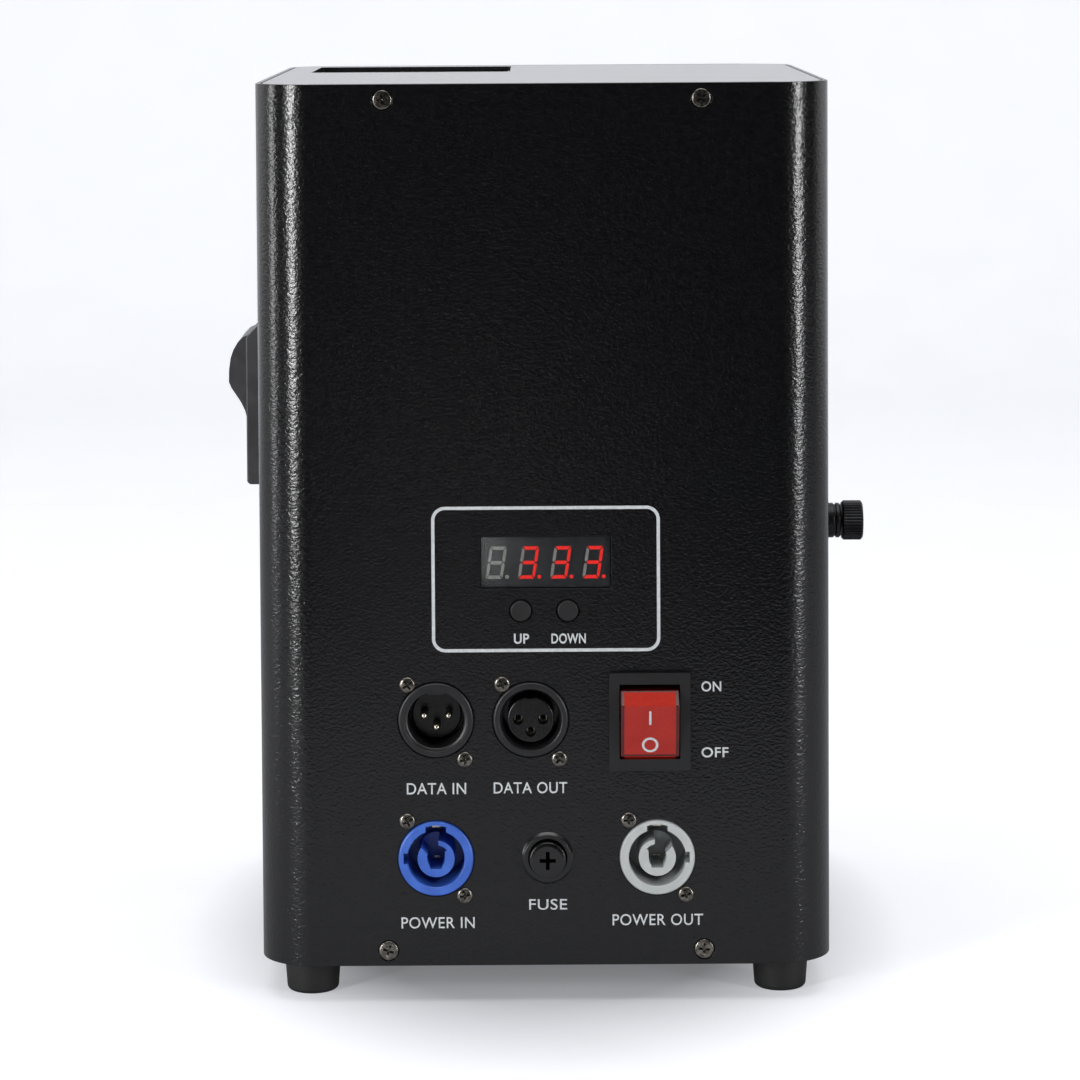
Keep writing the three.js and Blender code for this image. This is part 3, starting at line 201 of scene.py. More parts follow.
def asObject(shape, name):
    bmesh.ops.recalc_face_normals(shape, faces=shape.faces)
    mesh = bpy.data.meshes.new(name)
    shape.to_mesh(mesh)
    shape.free()
    piece = bpy.data.objects.new(name, mesh)
    scene.collection.objects.link(piece)
    return piece


def bakedMesh(piece):
    graph = bpy.context.evaluated_depsgraph_get()
    return bpy.data.meshes.new_from_object(piece.evaluated_get(graph), preserve_all_data_layers=True,
                                           depsgraph=graph)


def dropObject(piece):
    mesh = piece.data
    bpy.data.objects.remove(piece)
    bpy.data.meshes.remove(mesh)


def combined(shape, tools, operation):
    body, tool = asObject(shape, "work"), asObject(together(*tools), "tool")
    step = body.modifiers.new("boolean", "BOOLEAN")
    step.object, step.operation, step.solver, step.use_self = tool, operation, "EXACT", True
    mesh = bakedMesh(body)
    result = bmesh.new()
    result.from_mesh(mesh)
    bpy.data.meshes.remove(mesh)
    dropObject(body)
    dropObject(tool)
    return result


def cut(shape, *tools):
    return combined(shape, tools, "DIFFERENCE")


def join(shape, *others):
    return combined(shape, others, "UNION")


# Small round on every edge sharper than the angle, with flat faces kept flat. Doubles from cuts are welded.
weld = {"distance": 0.0005, "flatWithin": math.radians(0.4)}


def soften(piece, roundMm, segments=2, angle=35):
    if roundMm:
        clean = bmesh.new()
        clean.from_mesh(piece.data)
        bmesh.ops.remove_doubles(clean, verts=clean.verts, dist=weld["distance"])
        bmesh.ops.dissolve_limit(clean, angle_limit=weld["flatWithin"], verts=clean.verts,
                                 edges=clean.edges)
        clean.to_mesh(piece.data)
        clean.free()
        bevel = piece.modifiers.new("bevel", "BEVEL")
        bevel.width, bevel.segments, bevel.angle_limit = roundMm, segments, math.radians(angle)
        bevel.limit_method = "ANGLE"
    for face in piece.data.polygons:
        face.use_smooth = True
    if not roundMm:
        piece.data.set_sharp_from_angle(angle=math.radians(angle))
    weighted = piece.modifiers.new("normals", "WEIGHTED_NORMAL")
    weighted.keep_sharp = True
    old = piece.data
    piece.data = bakedMesh(piece)
    piece.modifiers.clear()
    bpy.data.meshes.remove(old)


# A shape becomes a piece: rounded, set in its place, in its slot's material unless it has one of its own.
def finishPiece(name, shape, where, slot, *replaced, body="case", material=None, roundMm=0.2, segments=2,
                angle=35):
    piece = asObject(shape, name)
    soften(piece, roundMm, segments, angle)
    piece.data.name = name
    piece.data.materials.clear()
    piece.data.materials.append(material or materials[slot])
    piece.data.transform(where)
    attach(piece, body)
    if replaced:
        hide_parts(*replaced)
    return piece


print("shape builders ready")


# One surface: two cloudy tones, a roughness that wanders with the grain, and the grain as bump. Sizes in mm.
def surface(name, tones, rough, cloudMm=6, grainMm=0.35, grainHigh=0.012, metallic=0.0, stretch=(1, 1, 1),
            **sockets):
    material = bpy.data.materials.new(name)
    material.use_nodes = True
    tree = material.node_tree
    shader = tree.nodes["Principled BSDF"]
    shader.inputs["Metallic"].default_value = metallic
    for key, value in sockets.items():
        shader.inputs[key.replace("_", " ")].default_value = value
    place = addNode(tree, "ShaderNodeTexCoord")
    along = addNode(tree, "ShaderNodeMapping", {}, {"Scale": stretch}, {"Vector": place.outputs["Object"]})
    cloud = addNode(tree, "ShaderNodeTexNoise", {}, {"Scale": 1000 / cloudMm, "Detail": 3.0},
                    {"Vector": along.outputs["Vector"]})
    grain = addNode(tree, "ShaderNodeTexNoise", {}, {"Scale": 1000 / grainMm, "Detail": 2.0},
                    {"Vector": along.outputs["Vector"]})
    tone = addNode(tree, "ShaderNodeValToRGB", {}, {}, {"Fac": cloud.outputs["Fac"]})
    for end, spot, color in zip(tone.color_ramp.elements, (0.35, 0.65), tones):
        end.position, end.color = spot, linearColor(color)
    wander = addNode(tree, "ShaderNodeMapRange", {}, {"From Min": 0.3, "From Max": 0.7, "To Min": rough[0],
                                                      "To Max": rough[1]}, {"Value": grain.outputs["Fac"]})
    bump = addNode(tree, "ShaderNodeBump", {}, {"Distance": grainHigh / 1000},
                   {"Height": grain.outputs["Fac"]})
    tree.links.new(tone.outputs["Color"], shader.inputs["Base Color"])
    tree.links.new(wander.outputs["Result"], shader.inputs["Roughness"])
    tree.links.new(bump.outputs["Normal"], shader.inputs["Normal"])
    return material, {"tree": tree, "shader": shader, "along": along, "cloud": cloud, "grain": grain,
                      "tone": tone, "wander": wander, "bump": bump}


# Steel sheet, black polyester powder coat, baked: a leathery wrinkle that breaks up every highlight on it.
coat = {"wrinkleMm": 0.95, "wrinkleHigh": 0.12, "pebbleMm": 0.55, "pebbleHigh": 0.04,
        "tones": ("#070709", "#0d0d0f"), "rough": (0.17, 0.25), "stretch": (0.75, 0.75, 1)}


def powderCoatedSteel():
    material, parts = surface("powderCoatedSteel", coat["tones"], coat["rough"], 1.7, coat["pebbleMm"],
                              coat["pebbleHigh"], stretch=coat["stretch"], IOR=1.5)
    tree = parts["tree"]
    wrinkle = addNode(tree, "ShaderNodeTexNoise", {}, {"Scale": 1000 / coat["wrinkleMm"], "Detail": 1.5,
                                                       "Roughness": 0.45, "Distortion": 0.4},
                      {"Vector": parts["along"].outputs["Vector"]})
    swell = addNode(tree, "ShaderNodeBump", {}, {"Distance": coat["wrinkleHigh"] / 1000},
                    {"Height": wrinkle.outputs["Fac"]})
    tree.links.new(swell.outputs["Normal"], parts["bump"].inputs["Normal"])
    return material


# The same coat laid thinner on the flat end plates: smooth enough to mirror the wall at a low angle.
def smoothCoatedPlate():
    return surface("smoothCoatedSteelPlate", ("#1a1b1d", "#222326"), (0.1, 0.14), 3, 0.9, 0.002, IOR=1.5)[0]


# Steel screws, cold headed and nickel plated: warm grey, with painted shade in the drive and under the rim.
def nickelPlatedScrew():
    material, parts = surface("nickelPlatedSteelScrew", ("#5d5954", "#8f8a83"), (0.2, 0.34), 1.1, 0.3,
                              0.006, 1.0)
    tree = parts["tree"]
    # Painted shade: ambient occlusion mixes a near-black into the colour in the recess and under the head.
    hollow = addNode(tree, "ShaderNodeAmbientOcclusion", {"samples": 4, "only_local": True},
                     {"Distance": 0.0008})
    paintedShade = addNode(tree, "ShaderNodeMapRange", {}, {"From Min": 0.35, "From Max": 0.9, "To Min": 0.3,
                                                     "To Max": 1.0}, {"Value": hollow.outputs["AO"]})
    blend = addNode(tree, "ShaderNodeMix", {"data_type": "RGBA"}, {6: linearColor("#15130f")},
                    {0: paintedShade.outputs["Result"], 7: parts["tone"].outputs["Color"]})
    tree.links.new(blend.outputs[2], parts["shader"].inputs["Base Color"])
    return material


# Polyester insert of a socket, glass filled and moulded: the deepest black on the panel, faintly glossy.
def blackInsertResin():
    return surface("mouldedPolyesterInsert", ("#030304", "#060607"), (0.2, 0.3), 4, 0.35, 0.006, IOR=1.5)[0]


# Screen-printed epoxy ink: flat cool white, its film slightly broken where the coat is rough below.
def screenPrintedInk():
    return surface("screenPrintedEpoxyInk", ("#b4b8ba", "#c8cccf"), (0.5, 0.6), 0.7, 0.5, 0.02, IOR=1.5)[0]


# Clear red polycarbonate, moulded: dark and glossy, it lets almost no light back out.
def clearRedPolycarbonate():
    return surface("mouldedClearRedPolycarbonate", ("#3c0404", "#560707"), (0.12, 0.2), 5, 2.5, 0.004,
                   IOR=1.585)[0]


# Red polycarbonate over a lighter core, with a faint painted glow from emission standing in for its milky
# sheen.
def redPolycarbonatePaintedGlow():
    return surface("mouldedRedPolycarbonatePaintedGlow", ("#8c1208", "#971a10"), (0.26, 0.36), 7, 0.5, 0.006,
                   IOR=1.5, Emission_Color=linearColor("#ff4a38"), Emission_Strength=0.06)[0]


# The sloping ends of that core: painted light, an orange-red emission glow standing in for light from above.
def redPolycarbonatePaintedLight():
    return surface("mouldedRedPolycarbonatePaintedLight", ("#520500", "#680c00"), (0.5, 0.6), 1.6, 0.6, 0.01,
                   IOR=1.35, Emission_Color=linearColor("#ff2c00"), Emission_Strength=0.3)[0]


# Printed face of the display module: glossy film that greys where it mirrors the room.
def printedDisplayFilm():
    return surface("printedPolycarbonateFilm", ("#28292b", "#303234"), (0.11, 0.18), 3, 0.9, 0.002,
                   IOR=1.585)[0]


# Lit segments, cast epoxy light pipes: an even red glow, a little brighter in places.
def litEpoxySegment():
    material, parts = surface("castEpoxySegmentLit", ("#560504", "#640806"), (0.38, 0.46), 1.2, 0.5, 0.004)
    glow = addNode(parts["tree"], "ShaderNodeMapRange", {}, {"To Min": 0.86, "To Max": 1.04},
                   {"Value": parts["cloud"].outputs["Fac"]})
    parts["shader"].inputs["Emission Color"].default_value = linearColor("#ff2a1e")
    parts["tree"].links.new(glow.outputs["Result"], parts["shader"].inputs["Emission Strength"])
    return material


# Unlit segments, the same cast epoxy: a warm milky grey.
def unlitEpoxySegment():
    return surface("castEpoxySegmentUnlit", ("#8d8d87", "#a4a49e"), (0.42, 0.5), 1.2, 0.5, 0.004)[0]


# Smoked acrylic, laser cut and polished: nearly clear, it keeps one clean highlight over the digits.
def smokedAcrylic():
    return surface("polishedSmokedAcrylic", ("#232528", "#292b2e"), (0.04, 0.07), 12, 9, 0.003, IOR=1.49,
                   Alpha=0.16)[0]


# Soda glass, drawn to a tube: clear with a bright rim, and a faint grey in the wall.
def drawnGlassTube():
    return surface("drawnSodaGlassTube", ("#c6cac6", "#d2d6d2"), (0.03, 0.06), 8, 4, 0.002, IOR=1.52,
                   Alpha=0.28)[0]


materials = {
    "powder_coat": powderCoatedSteel(),
    "screw_nickel": nickelPlatedScrew(),
    "window_smoke": smokedAcrylic(),
    "fuse_glass": drawnGlassTube(),
    "rocker_red": clearRedPolycarbonate(),
    # Zinc-plated sheet, pressed: dull blue-grey metal with faint clouds.
    "bare_plate": surface("zincPlatedSteelSheet", ("#94989c", "#b2b6ba"), (0.3, 0.46), 9, 0.8, 0.01,
                          1.0)[0],
    # Natural rubber, compression moulded: soft dusty black, no clear highlight.
    "foot_rubber": surface("mouldedNaturalRubber", ("#0c0c0d", "#141415"), (0.56, 0.7), 7, 0.6, 0.02)[0],
    # Glass-filled nylon, injection moulded: matte charcoal with a fine sparked grain.
    "socket_black": surface("mouldedGlassFilledNylon", ("#131315", "#1a1a1c"), (0.32, 0.44), 6, 0.35, 0.01,
                            IOR=1.53)[0],
    # Brass contacts, turned and silver plated: pale yellowish metal, a little tarnished.
    "contact_metal": surface("silverPlatedBrass", ("#b5ad98", "#dcd6c8"), (0.16, 0.3), 1.2, 0.3, 0.004,
                             1.0)[0],
    # Blue nylon, injection moulded: strong even blue with a soft sheen.
    "inlet_blue": surface("mouldedBlueNylon", ("#3159b2", "#3c66c0"), (0.28, 0.4), 6, 0.35, 0.01,
                          IOR=1.53)[0],
    # Light grey nylon, injection moulded: cool off-white with a soft sheen.
    "outlet_grey": surface("mouldedGreyNylon", ("#abafaf", "#b7baba"), (0.3, 0.42), 6, 0.35, 0.01,
                           IOR=1.53)[0],
    # Phenolic resin, compression moulded: deep black, glossier than the nylon.
    "fuse_black": surface("mouldedPhenolicResin", ("#020203", "#060607"), (0.18, 0.28), 5, 0.4, 0.008,
                          IOR=1.6)[0],
    # Nylon of the switch, injection moulded on a polished tool: flat dark grey.
    "switch_black": surface("mouldedSwitchNylon", ("#0f0f11", "#151517"), (0.34, 0.44), 6, 0.3, 0.008,
                            IOR=1.53)[0],
    # Display case, moulded acrylonitrile plastic: plain black, lightly grained.
    "display_black": surface("mouldedDisplayCase", ("#121213", "#19191a"), (0.36, 0.46), 5, 0.4, 0.01)[0],
    # Silicone keys, compression moulded: dark grey and slightly dusty.
    "button_black": surface("mouldedSiliconeKey", ("#0e0e10", "#141416"), (0.46, 0.58), 4, 0.4, 0.012)[0],
    # Acetal of the latch, injection moulded: dark grey with soft highlights on its edges.
    "latch_black": surface("mouldedAcetal", ("#3a3a3c", "#454547"), (0.3, 0.42), 6, 0.4, 0.01, IOR=1.48)[0],
    # Steel pins and levers, ground: fine lines round the bar, drawn coarser than real so that they show.
    "steel_pin": surface("groundSteelBar", ("#a2a5a8", "#bfc2c4"), (0.2, 0.38), 9, 0.6, 0.006, 1.0,
                         (1, 1, 6))[0],
    # Aluminium knob, turned, knurled and anodised black: satin, bright along the edges.
    "knob_black": surface("anodisedAluminiumKnob", ("#1b1b1d", "#29292c"), (0.24, 0.36), 4, 0.3, 0.006,
                          0.6)[0],
    # Tinplate, drawn and lacquered: silvery with a cool cast.
    "can_tin": surface("lacquredTinplate", ("#a9adb1", "#c9cccf"), (0.16, 0.26), 24, 1.5, 0.004, 1.0)[0],
    # White acetal, injection moulded: slightly warm white with a soft sheen.
    "valve_white": surface("mouldedWhiteAcetal", ("#cfcec8", "#dcdbd5"), (0.3, 0.4), 5, 0.4, 0.008,
                           IOR=1.48)[0],
    # Coil wrapped in woven tape: dark blue-grey, a coarse dull grain.
    "coil_dark": surface("wovenCoilTape", ("#22262c", "#31363d"), (0.4, 0.55), 3, 0.5, 0.03)[0],
    # Potting epoxy, cast: near black and glossy with slow waves.
    "ignition_black": surface("castPottingEpoxy", ("#141518", "#1d1f22"), (0.18, 0.3), 9, 6, 0.05,
                              IOR=1.55)[0],
    # Stainless sheet, rolled: silver with brushed streaks and a warm stain from the heat.
    "duct_steel": surface("rolledStainlessSheet", ("#8f8578", "#b9b8b6"), (0.24, 0.4), 40, 0.7, 0.006, 1.0,
                          (1, 1, 0.12))[0],
    # Alumina, fired and glazed: warm white with a wet-looking gloss.
    "ceramic": surface("glazedAluminaCeramic", ("#ddd7c6", "#e8e2d3"), (0.1, 0.18), 6, 3, 0.006,
                       IOR=1.6)[0],
    # Glass-cloth board with solder mask: glossy green with a faint weave below.
    "board_green": surface("solderMaskedGlassBoard", ("#0e4427", "#15552f"), (0.2, 0.32), 1.4, 0.4,
                           0.006)[0],
}
ink = screenPrintedInk()
plateCoat = smoothCoatedPlate()
for entry in frame["record"]["subparts"]:
    slots = nodes[entry["node"]].data.materials
    slots.clear()
    slots.append(materials[entry["material_slot"]])
print("materials made and set on the frame")


# Screw heads: a rounded pan with a tapered cross recess, each turned its own way.
def crossTool(length, width, depth, top, turn):
    over = 1
    half, foot = length / 2, length * 0.22
    side = [(-half, top + over), (-half, top), (-foot, top - depth), (foot, top - depth), (half, top),
            (half, top + over)]
    first = pushedY(side, -width / 2, width / 2)
    second = moved(pushedY(side, -width / 2, width / 2), turn=math.pi / 2)
    core = width * 0.95
    pyramid = lathe([(0, top - depth * 1.15), (core * 0.55, top - depth), (core, top), (core, top + over),
                     (0, top + over)], 4)
    return moved(together(first, second, moved(pyramid, turn=math.pi / 4)), turn=turn)


def panScrew(head, proud, seat, shank, reach, cross, turn, dome=0.35):
    radius = head / 2
    profile = [(0, -reach), (shank / 2 - 0.3, -reach), (shank / 2, -reach + 0.5), (shank / 2, seat),
               (radius, seat)]
    rim = min(proud - seat, radius * dome)
    for k in range(7):
        angle = k / 6 * math.pi / 2
        profile.append((radius - rim + rim * math.cos(angle),
                        proud - rim * 0.8 + rim * 0.62 * math.sin(angle)))
    crown = profile[-1]
    for k in range(1, 4):
        share = k / 4
        profile.append((crown[0] * (1 - share),
                        crown[1] + (proud - crown[1]) * math.sin(share * math.pi / 2)))
    profile.append((0, proud))
    return cut(lathe(profile, 48), crossTool(cross, cross * 0.2, cross * 0.34, proud, turn))


# The bent shell: one sheet round three sides, with every hole that the connector face and walls need.
shellCuts = {
    "nose": 24.3, "noseRoom": 0.3, "flangeScrew": (9.2, 12.2), "screwHole": 3.3,
    "dataSpots": ((-35.3, 80.4, 0.7), (-4.7, 80.4, 0.7)),
             "powerSpots": ((-35.6, 35.2, 0), (36.05, 35.2, 0)),
    "fuse": (0.55, 35.2, 14.9), "switch": (33.75, 79.8, 24, 29), "display": (0.45, 131.4, 42.3, 16.8),
    "buttons": ((-7.7, 115.8), (7.5, 115.8)), "buttonHole": 7.5,
    "caseScrewHole": 3.6, "counterbore": (6.8, 0.9), "thumbHole": 5.5,
    "doorFar": 74, "doorWidth": 106, "doorLow": 30, "doorHigh": 262, "doorGap": 0.8,
    "thumb": (-38.1, 146.7), "returnX": 67, "over": 3, "cornerSteps": 20,
}
doorNear = shellCuts["doorFar"] - shellCuts["doorWidth"]
screwRows = (case["height"] - case["screwInset"], case["screwInset"])
screwSpots = [(sx * case["screwSpan"] / 2, y) for y in screwRows for sx in (-1, 1)]
screwNames = ["case_screw_upper_left", "case_screw_upper_right", "case_screw_lower_left",
              "case_screw_lower_right"]
flangeScrews = [(x + side * shellCuts["flangeScrew"][0], y - drop - side * shellCuts["flangeScrew"][1])
                for x, y, drop in shellCuts["dataSpots"] + shellCuts["powerSpots"] for side in (-1, 1)]
toFace = Matrix.Translation((0, rearY, case["lift"])) @ Matrix.Rotation(math.pi / 2, 4, "X")


def throughFace(shape):
    shape.transform(toFace)
    return shape


def shellOutline():
    radius, thick = case["cornerRadius"], case["sheet"]
    cx, cy = halfWidth - radius, frontY - radius
    corners = [(-cx, cy, 90), (-cx, -cy, 180), (cx, -cy, 270), (cx, cy, 0)]
    steps = shellCuts["cornerSteps"]
    points = [(-shellCuts["returnX"], frontY)]
    for x, y, start in corners:
        points += arc(x, y, radius, start, start + 90, steps)
    points += [(shellCuts["returnX"], frontY), (shellCuts["returnX"], frontY - thick)]
    for x, y, start in reversed(corners):
        points += arc(x, y, radius - thick, start + 90, start, steps)
    points.append((-shellCuts["returnX"], frontY - thick))
    return points


def caseShell():
    values, thick = shellCuts, case["sheet"] + shellCuts["over"]
    tools = []
    for x, y, _ in values["dataSpots"] + values["powerSpots"]:
        noseHole = rod(values["nose"] + 2 * values["noseRoom"], -thick, values["over"], 96)
        tools.append(throughFace(moved(noseHole, x, y)))
    for x, y in flangeScrews:
        tools.append(throughFace(moved(rod(values["screwHole"], -thick, values["over"], 32), x, y)))
    for x, y in values["buttons"]:
        tools.append(throughFace(moved(rod(values["buttonHole"], -thick, values["over"]), x, y)))
    x, y, wide = values["fuse"]
    tools.append(throughFace(moved(rod(wide, -thick, values["over"], 64), x, y)))
    for x, y, wide, tall in (values["switch"], values["display"]):
        tools.append(throughFace(prism(roundedRect(wide, tall, 0.6, x, y, 3), -thick, values["over"])))
    for x, y in screwSpots:
        wide, deep = values["counterbore"]
        tools.append(throughFace(moved(rod(wide, -deep, values["over"]), x, y)))
        tools.append(throughFace(moved(rod(values["caseScrewHole"], -thick, values["over"], 32), x, y)))
    gap = values["doorGap"]
    middle = (doorNear + values["doorFar"]) / 2
    door = prism(roundedRect(values["doorWidth"] + 2 * gap, values["doorHigh"] - values["doorLow"], 2,
                             middle, (values["doorHigh"] + values["doorLow"]) / 2), -thick, thick)
    door.transform(Matrix(((0, 0, 1, -halfWidth), (1, 0, 0, 0), (0, 1, 0, 0), (0, 0, 0, 1))))
    tools.append(door)
    thumbY, thumbZ = values["thumb"]
    tools.append(barX(values["thumbHole"], -thick, thick, 48, halfWidth, thumbY, thumbZ))
    shell = cut(prism(shellOutline(), case["lift"], caseTop), *tools)
    finishPiece("caseShell", shell, inMetres, "powder_coat", "case_shell", roundMm=0.28, angle=30)


# Top and base: plates set down inside the shell, each with a folded edge that the case screws reach.
plate = {"seam": 0.7, "seat": 0.2, "fold": 13, "foldBend": 2.2, "outlet": (-81.3, -10.9, 21.5, 85.5),
         "outletRound": 1.2}


def endPlate(name, outerZ, inward, replaced):
    thick, seam = case["sheet"], plate["seam"]
    near, far = rearY + thick + plate["seat"], frontY - thick - plate["seat"]
    width = 2 * (halfWidth - thick - seam)
    radius = case["cornerRadius"] - thick - seam
    z0, z1 = sorted((outerZ, outerZ + inward * thick))
    flat = prism(roundedRect(width, far - near, radius, 0, 0, 16), z0, z1)
    folds, foldHalf = [], halfWidth - case["cornerRadius"]
    bend, reach = plate["foldBend"], plate["fold"]
    for side, edge in ((-1, near), (1, far)):
        outer = [(edge - side * bend * (1 - math.sin(k / 6 * math.pi / 2)),
                  outerZ + inward * bend * (1 - math.cos(k / 6 * math.pi / 2))) for k in range(7)]
        inner = [(edge - side * (bend - (bend - thick) * math.sin(k / 4 * math.pi / 2)),
                  outerZ + inward * (bend - (bend - thick) * math.cos(k / 4 * math.pi / 2)))
                 for k in range(5)]
        profile = outer + [(edge, outerZ + inward * reach),
                           (edge - side * thick, outerZ + inward * reach)] + inner[::-1]
        folds.append(pushedX(profile, -foldHalf, foldHalf))
    holes = [barY(shellCuts["caseScrewHole"], rearY - 3, frontY + 3, 32, sx * case["screwSpan"] / 2, 0,
                  outerZ + inward * case["screwInset"]) for sx in (-1, 1)]
    notches = []
    for side, edge in ((-1, near), (1, far)):
        ends = sorted((edge + side, edge - side * bend))
        notches.append(block(-foldHalf, foldHalf, *ends, z0 - 1, z1 + 1))
    if replaced == "top_plate":
        x0, x1, y0, y1 = plate["outlet"]
        outlet = roundedRect(x1 - x0, y1 - y0, plate["outletRound"], (x0 + x1) / 2, (y0 + y1) / 2)
        notches.append(prism(outlet, z0 - 3, z1 + 3))
    body = cut(join(cut(flat, *notches), *folds), *holes)
    finishPiece(name, body, inMetres, "powder_coat", replaced, material=plateCoat, roundMm=0.15)


# Case screws: head, seat under it and shank. Flush on the far panel, a little proud on the connector face.
caseScrew = {"head": 6.2, "seat": -0.7, "shank": 2.9, "flush": (0, 6, 3.6, 0.2),
             "proud": (0.5, 7, 3.9, 0.22)}


def caseScrewHead(kind, turn):
    proud, reach, cross, dome = caseScrew[kind]
    return panScrew(caseScrew["head"], proud, caseScrew["seat"], caseScrew["shank"], reach, cross, turn,
                    dome)


# The plain far panel between the shell's returns, held by four flush screws.
def farPanel():
    half, thick = shellCuts["returnX"] - plate["seat"], case["sheet"]
    sheet = block(-half, half, frontY - thick, frontY, case["lift"], caseTop)
    wide, deep = shellCuts["counterbore"]
    holes, screws = [], []
    for index, (x, y) in enumerate(screwSpots):
        z = y + case["lift"]
        holes.append(barY(wide, frontY - deep, frontY + 1, 48, x, 0, z))
        holes.append(barY(shellCuts["caseScrewHole"], frontY - 4, frontY + 1, 32, x, 0, z))
        head = caseScrewHead("flush", 0.5 + index * 1.1)
        head.transform(Matrix.Translation((x, frontY - 0.05, z)) @ Matrix.Rotation(-math.pi / 2, 4, "X"))
        screws.append(head)
    finishPiece("farPanel", cut(sheet, *holes), inMetres, "powder_coat", "front_panel", roundMm=0.2)
    finishPiece("farPanelScrews", together(*screws), inMetres, "screw_nickel", roundMm=0.08, angle=40)


def caseScrews():
    for name, (x, y), turn in zip(screwNames, screwSpots, (0.15, 0.7, -0.32, -0.1)):
        finishPiece(name.replace("_", "-"), caseScrewHead("proud", turn), panelSpot(x, y), "screw_nickel",
                    name, roundMm=0.07, angle=40)


# Rubber feet: moulded cones with a rounded tread and a screw deep in the recess.
foot = {"height": 12, "top": 19.3, "bottom": 16.6, "edge": 1.6, "recess": 8, "recessDepth": 7, "x": 76.8,
        "y": 84.5}


def feet():
    low, high, edge = foot["bottom"] / 2, foot["top"] / 2, foot["edge"]
    slope = (high - low) / foot["height"]
    profile = [(0, foot["recessDepth"]), (foot["recess"] / 2 - 0.4, foot["recessDepth"]),
               (foot["recess"] / 2, foot["recessDepth"] - 0.4), (foot["recess"] / 2, 0.6),
               (foot["recess"] / 2 + 0.6, 0)]
    profile += arc(low - edge + slope * edge, edge, edge, -90, 0, 6)
    profile += [(high - 0.5, foot["height"] - 1.4), (high, foot["height"] - 1.1),
                (high, foot["height"] - 0.2), (high - 0.3, foot["height"]), (0, foot["height"])]
    for name, sx, sy in (("near_left", -1, -1), ("near_right", 1, -1), ("far_left", -1, 1),
                         ("far_right", 1, 1)):
        where = inMetres @ Matrix.Translation((sx * foot["x"], sy * foot["y"], 0))
        finishPiece("foot-" + name.replace("_", "-"), lathe(profile, 72), where, "foot_rubber",
                    "foot_" + name, roundMm=0.12, angle=40)
        head = panScrew(6, 1.6, 0, 3, 3, 3.2, sx + sy * 0.4)
        head.transform(Matrix.Translation((0, 0, foot["recessDepth"])) @ Matrix.Rotation(math.pi, 4, "X"))
        finishPiece("footScrew-" + name.replace("_", "-"), head, where, "screw_nickel", roundMm=0.07,
                    angle=40)


caseShell()
endPlate("topPlate", caseTop, -1, "top_plate")
endPlate("basePlate", case["lift"], 1, "base_plate")
farPanel()
caseScrews()
feet()
print("case made")


# Panel sockets. They share the flange behind the sheet, the barrel and the nose that comes through.
socket = {
    "flange": (26, 31, 2.6), "seat": -1.7, "thick": 2, "barrel": 22.6, "length": 25,
    "nose": 24.3, "proud": 1.2, "chamfer": 0.7, "tags": 4,
    "screwHead": 5.1, "screwProud": 1.1, "screwShank": 2.8, "screwReach": 7, "screwCross": 3.7, "nut": 5.5,
}


def socketBody(inner, drop):
    nose, top = socket["nose"] / 2, socket["proud"]
    barrel, back = socket["barrel"] / 2, socket["seat"] - socket["thick"] / 2
    profile = [(0, -socket["length"]), (barrel - 0.6, -socket["length"]), (barrel, -socket["length"] + 0.6),
               (barrel, back), (nose, back), (nose, top - socket["chamfer"]),
               (nose - socket["chamfer"] * 0.3, top - 0.25), (nose - socket["chamfer"], top)]
    body = lathe(profile + inner, 128)
    width, tall, round_ = socket["flange"]
    flange = prism(roundedRect(width, tall, round_, 0, -drop), socket["seat"] - socket["thick"],
                   socket["seat"])
    flange = cut(flange, rod(socket["barrel"] - 0.6, socket["seat"] - 9, socket["seat"] + 9, 128))
    holes = [moved(rod(shellCuts["screwHole"], socket["seat"] - 4, socket["seat"] + 0.1, 24),
                   side * shellCuts["flangeScrew"][0], -drop - side * shellCuts["flangeScrew"][1])
             for side in (-1, 1)]
    return cut(join(body, flange), *holes)


# Tin-plated solder tags at the back of a socket.
def solderTags(spots, wide, thick):
    low, high = -socket["length"] - socket["tags"], -socket["length"] + 1
    tags = []
    for x, y in spots:
        tag = block(x - wide / 2, x + wide / 2, y - thick / 2, y + thick / 2, low, high)
        tags.append(cut(tag, barY(wide * 0.4, -9, 9, 20, x, y, low + wide * 0.6)))
    return together(*tags)


dataIn = {"bore": 18.4, "step": (20.6, 0.45), "depth": 14, "key": (5.4, 0.9), "pin": 2.4, "tip": -2.6,
          "pins": ((-4, 0.7), (4, 0.7), (0, -3.1)), "insert": 16.2, "insertLow": -12.6, "insertHigh": -10.1}

insertResin = blackInsertResin()


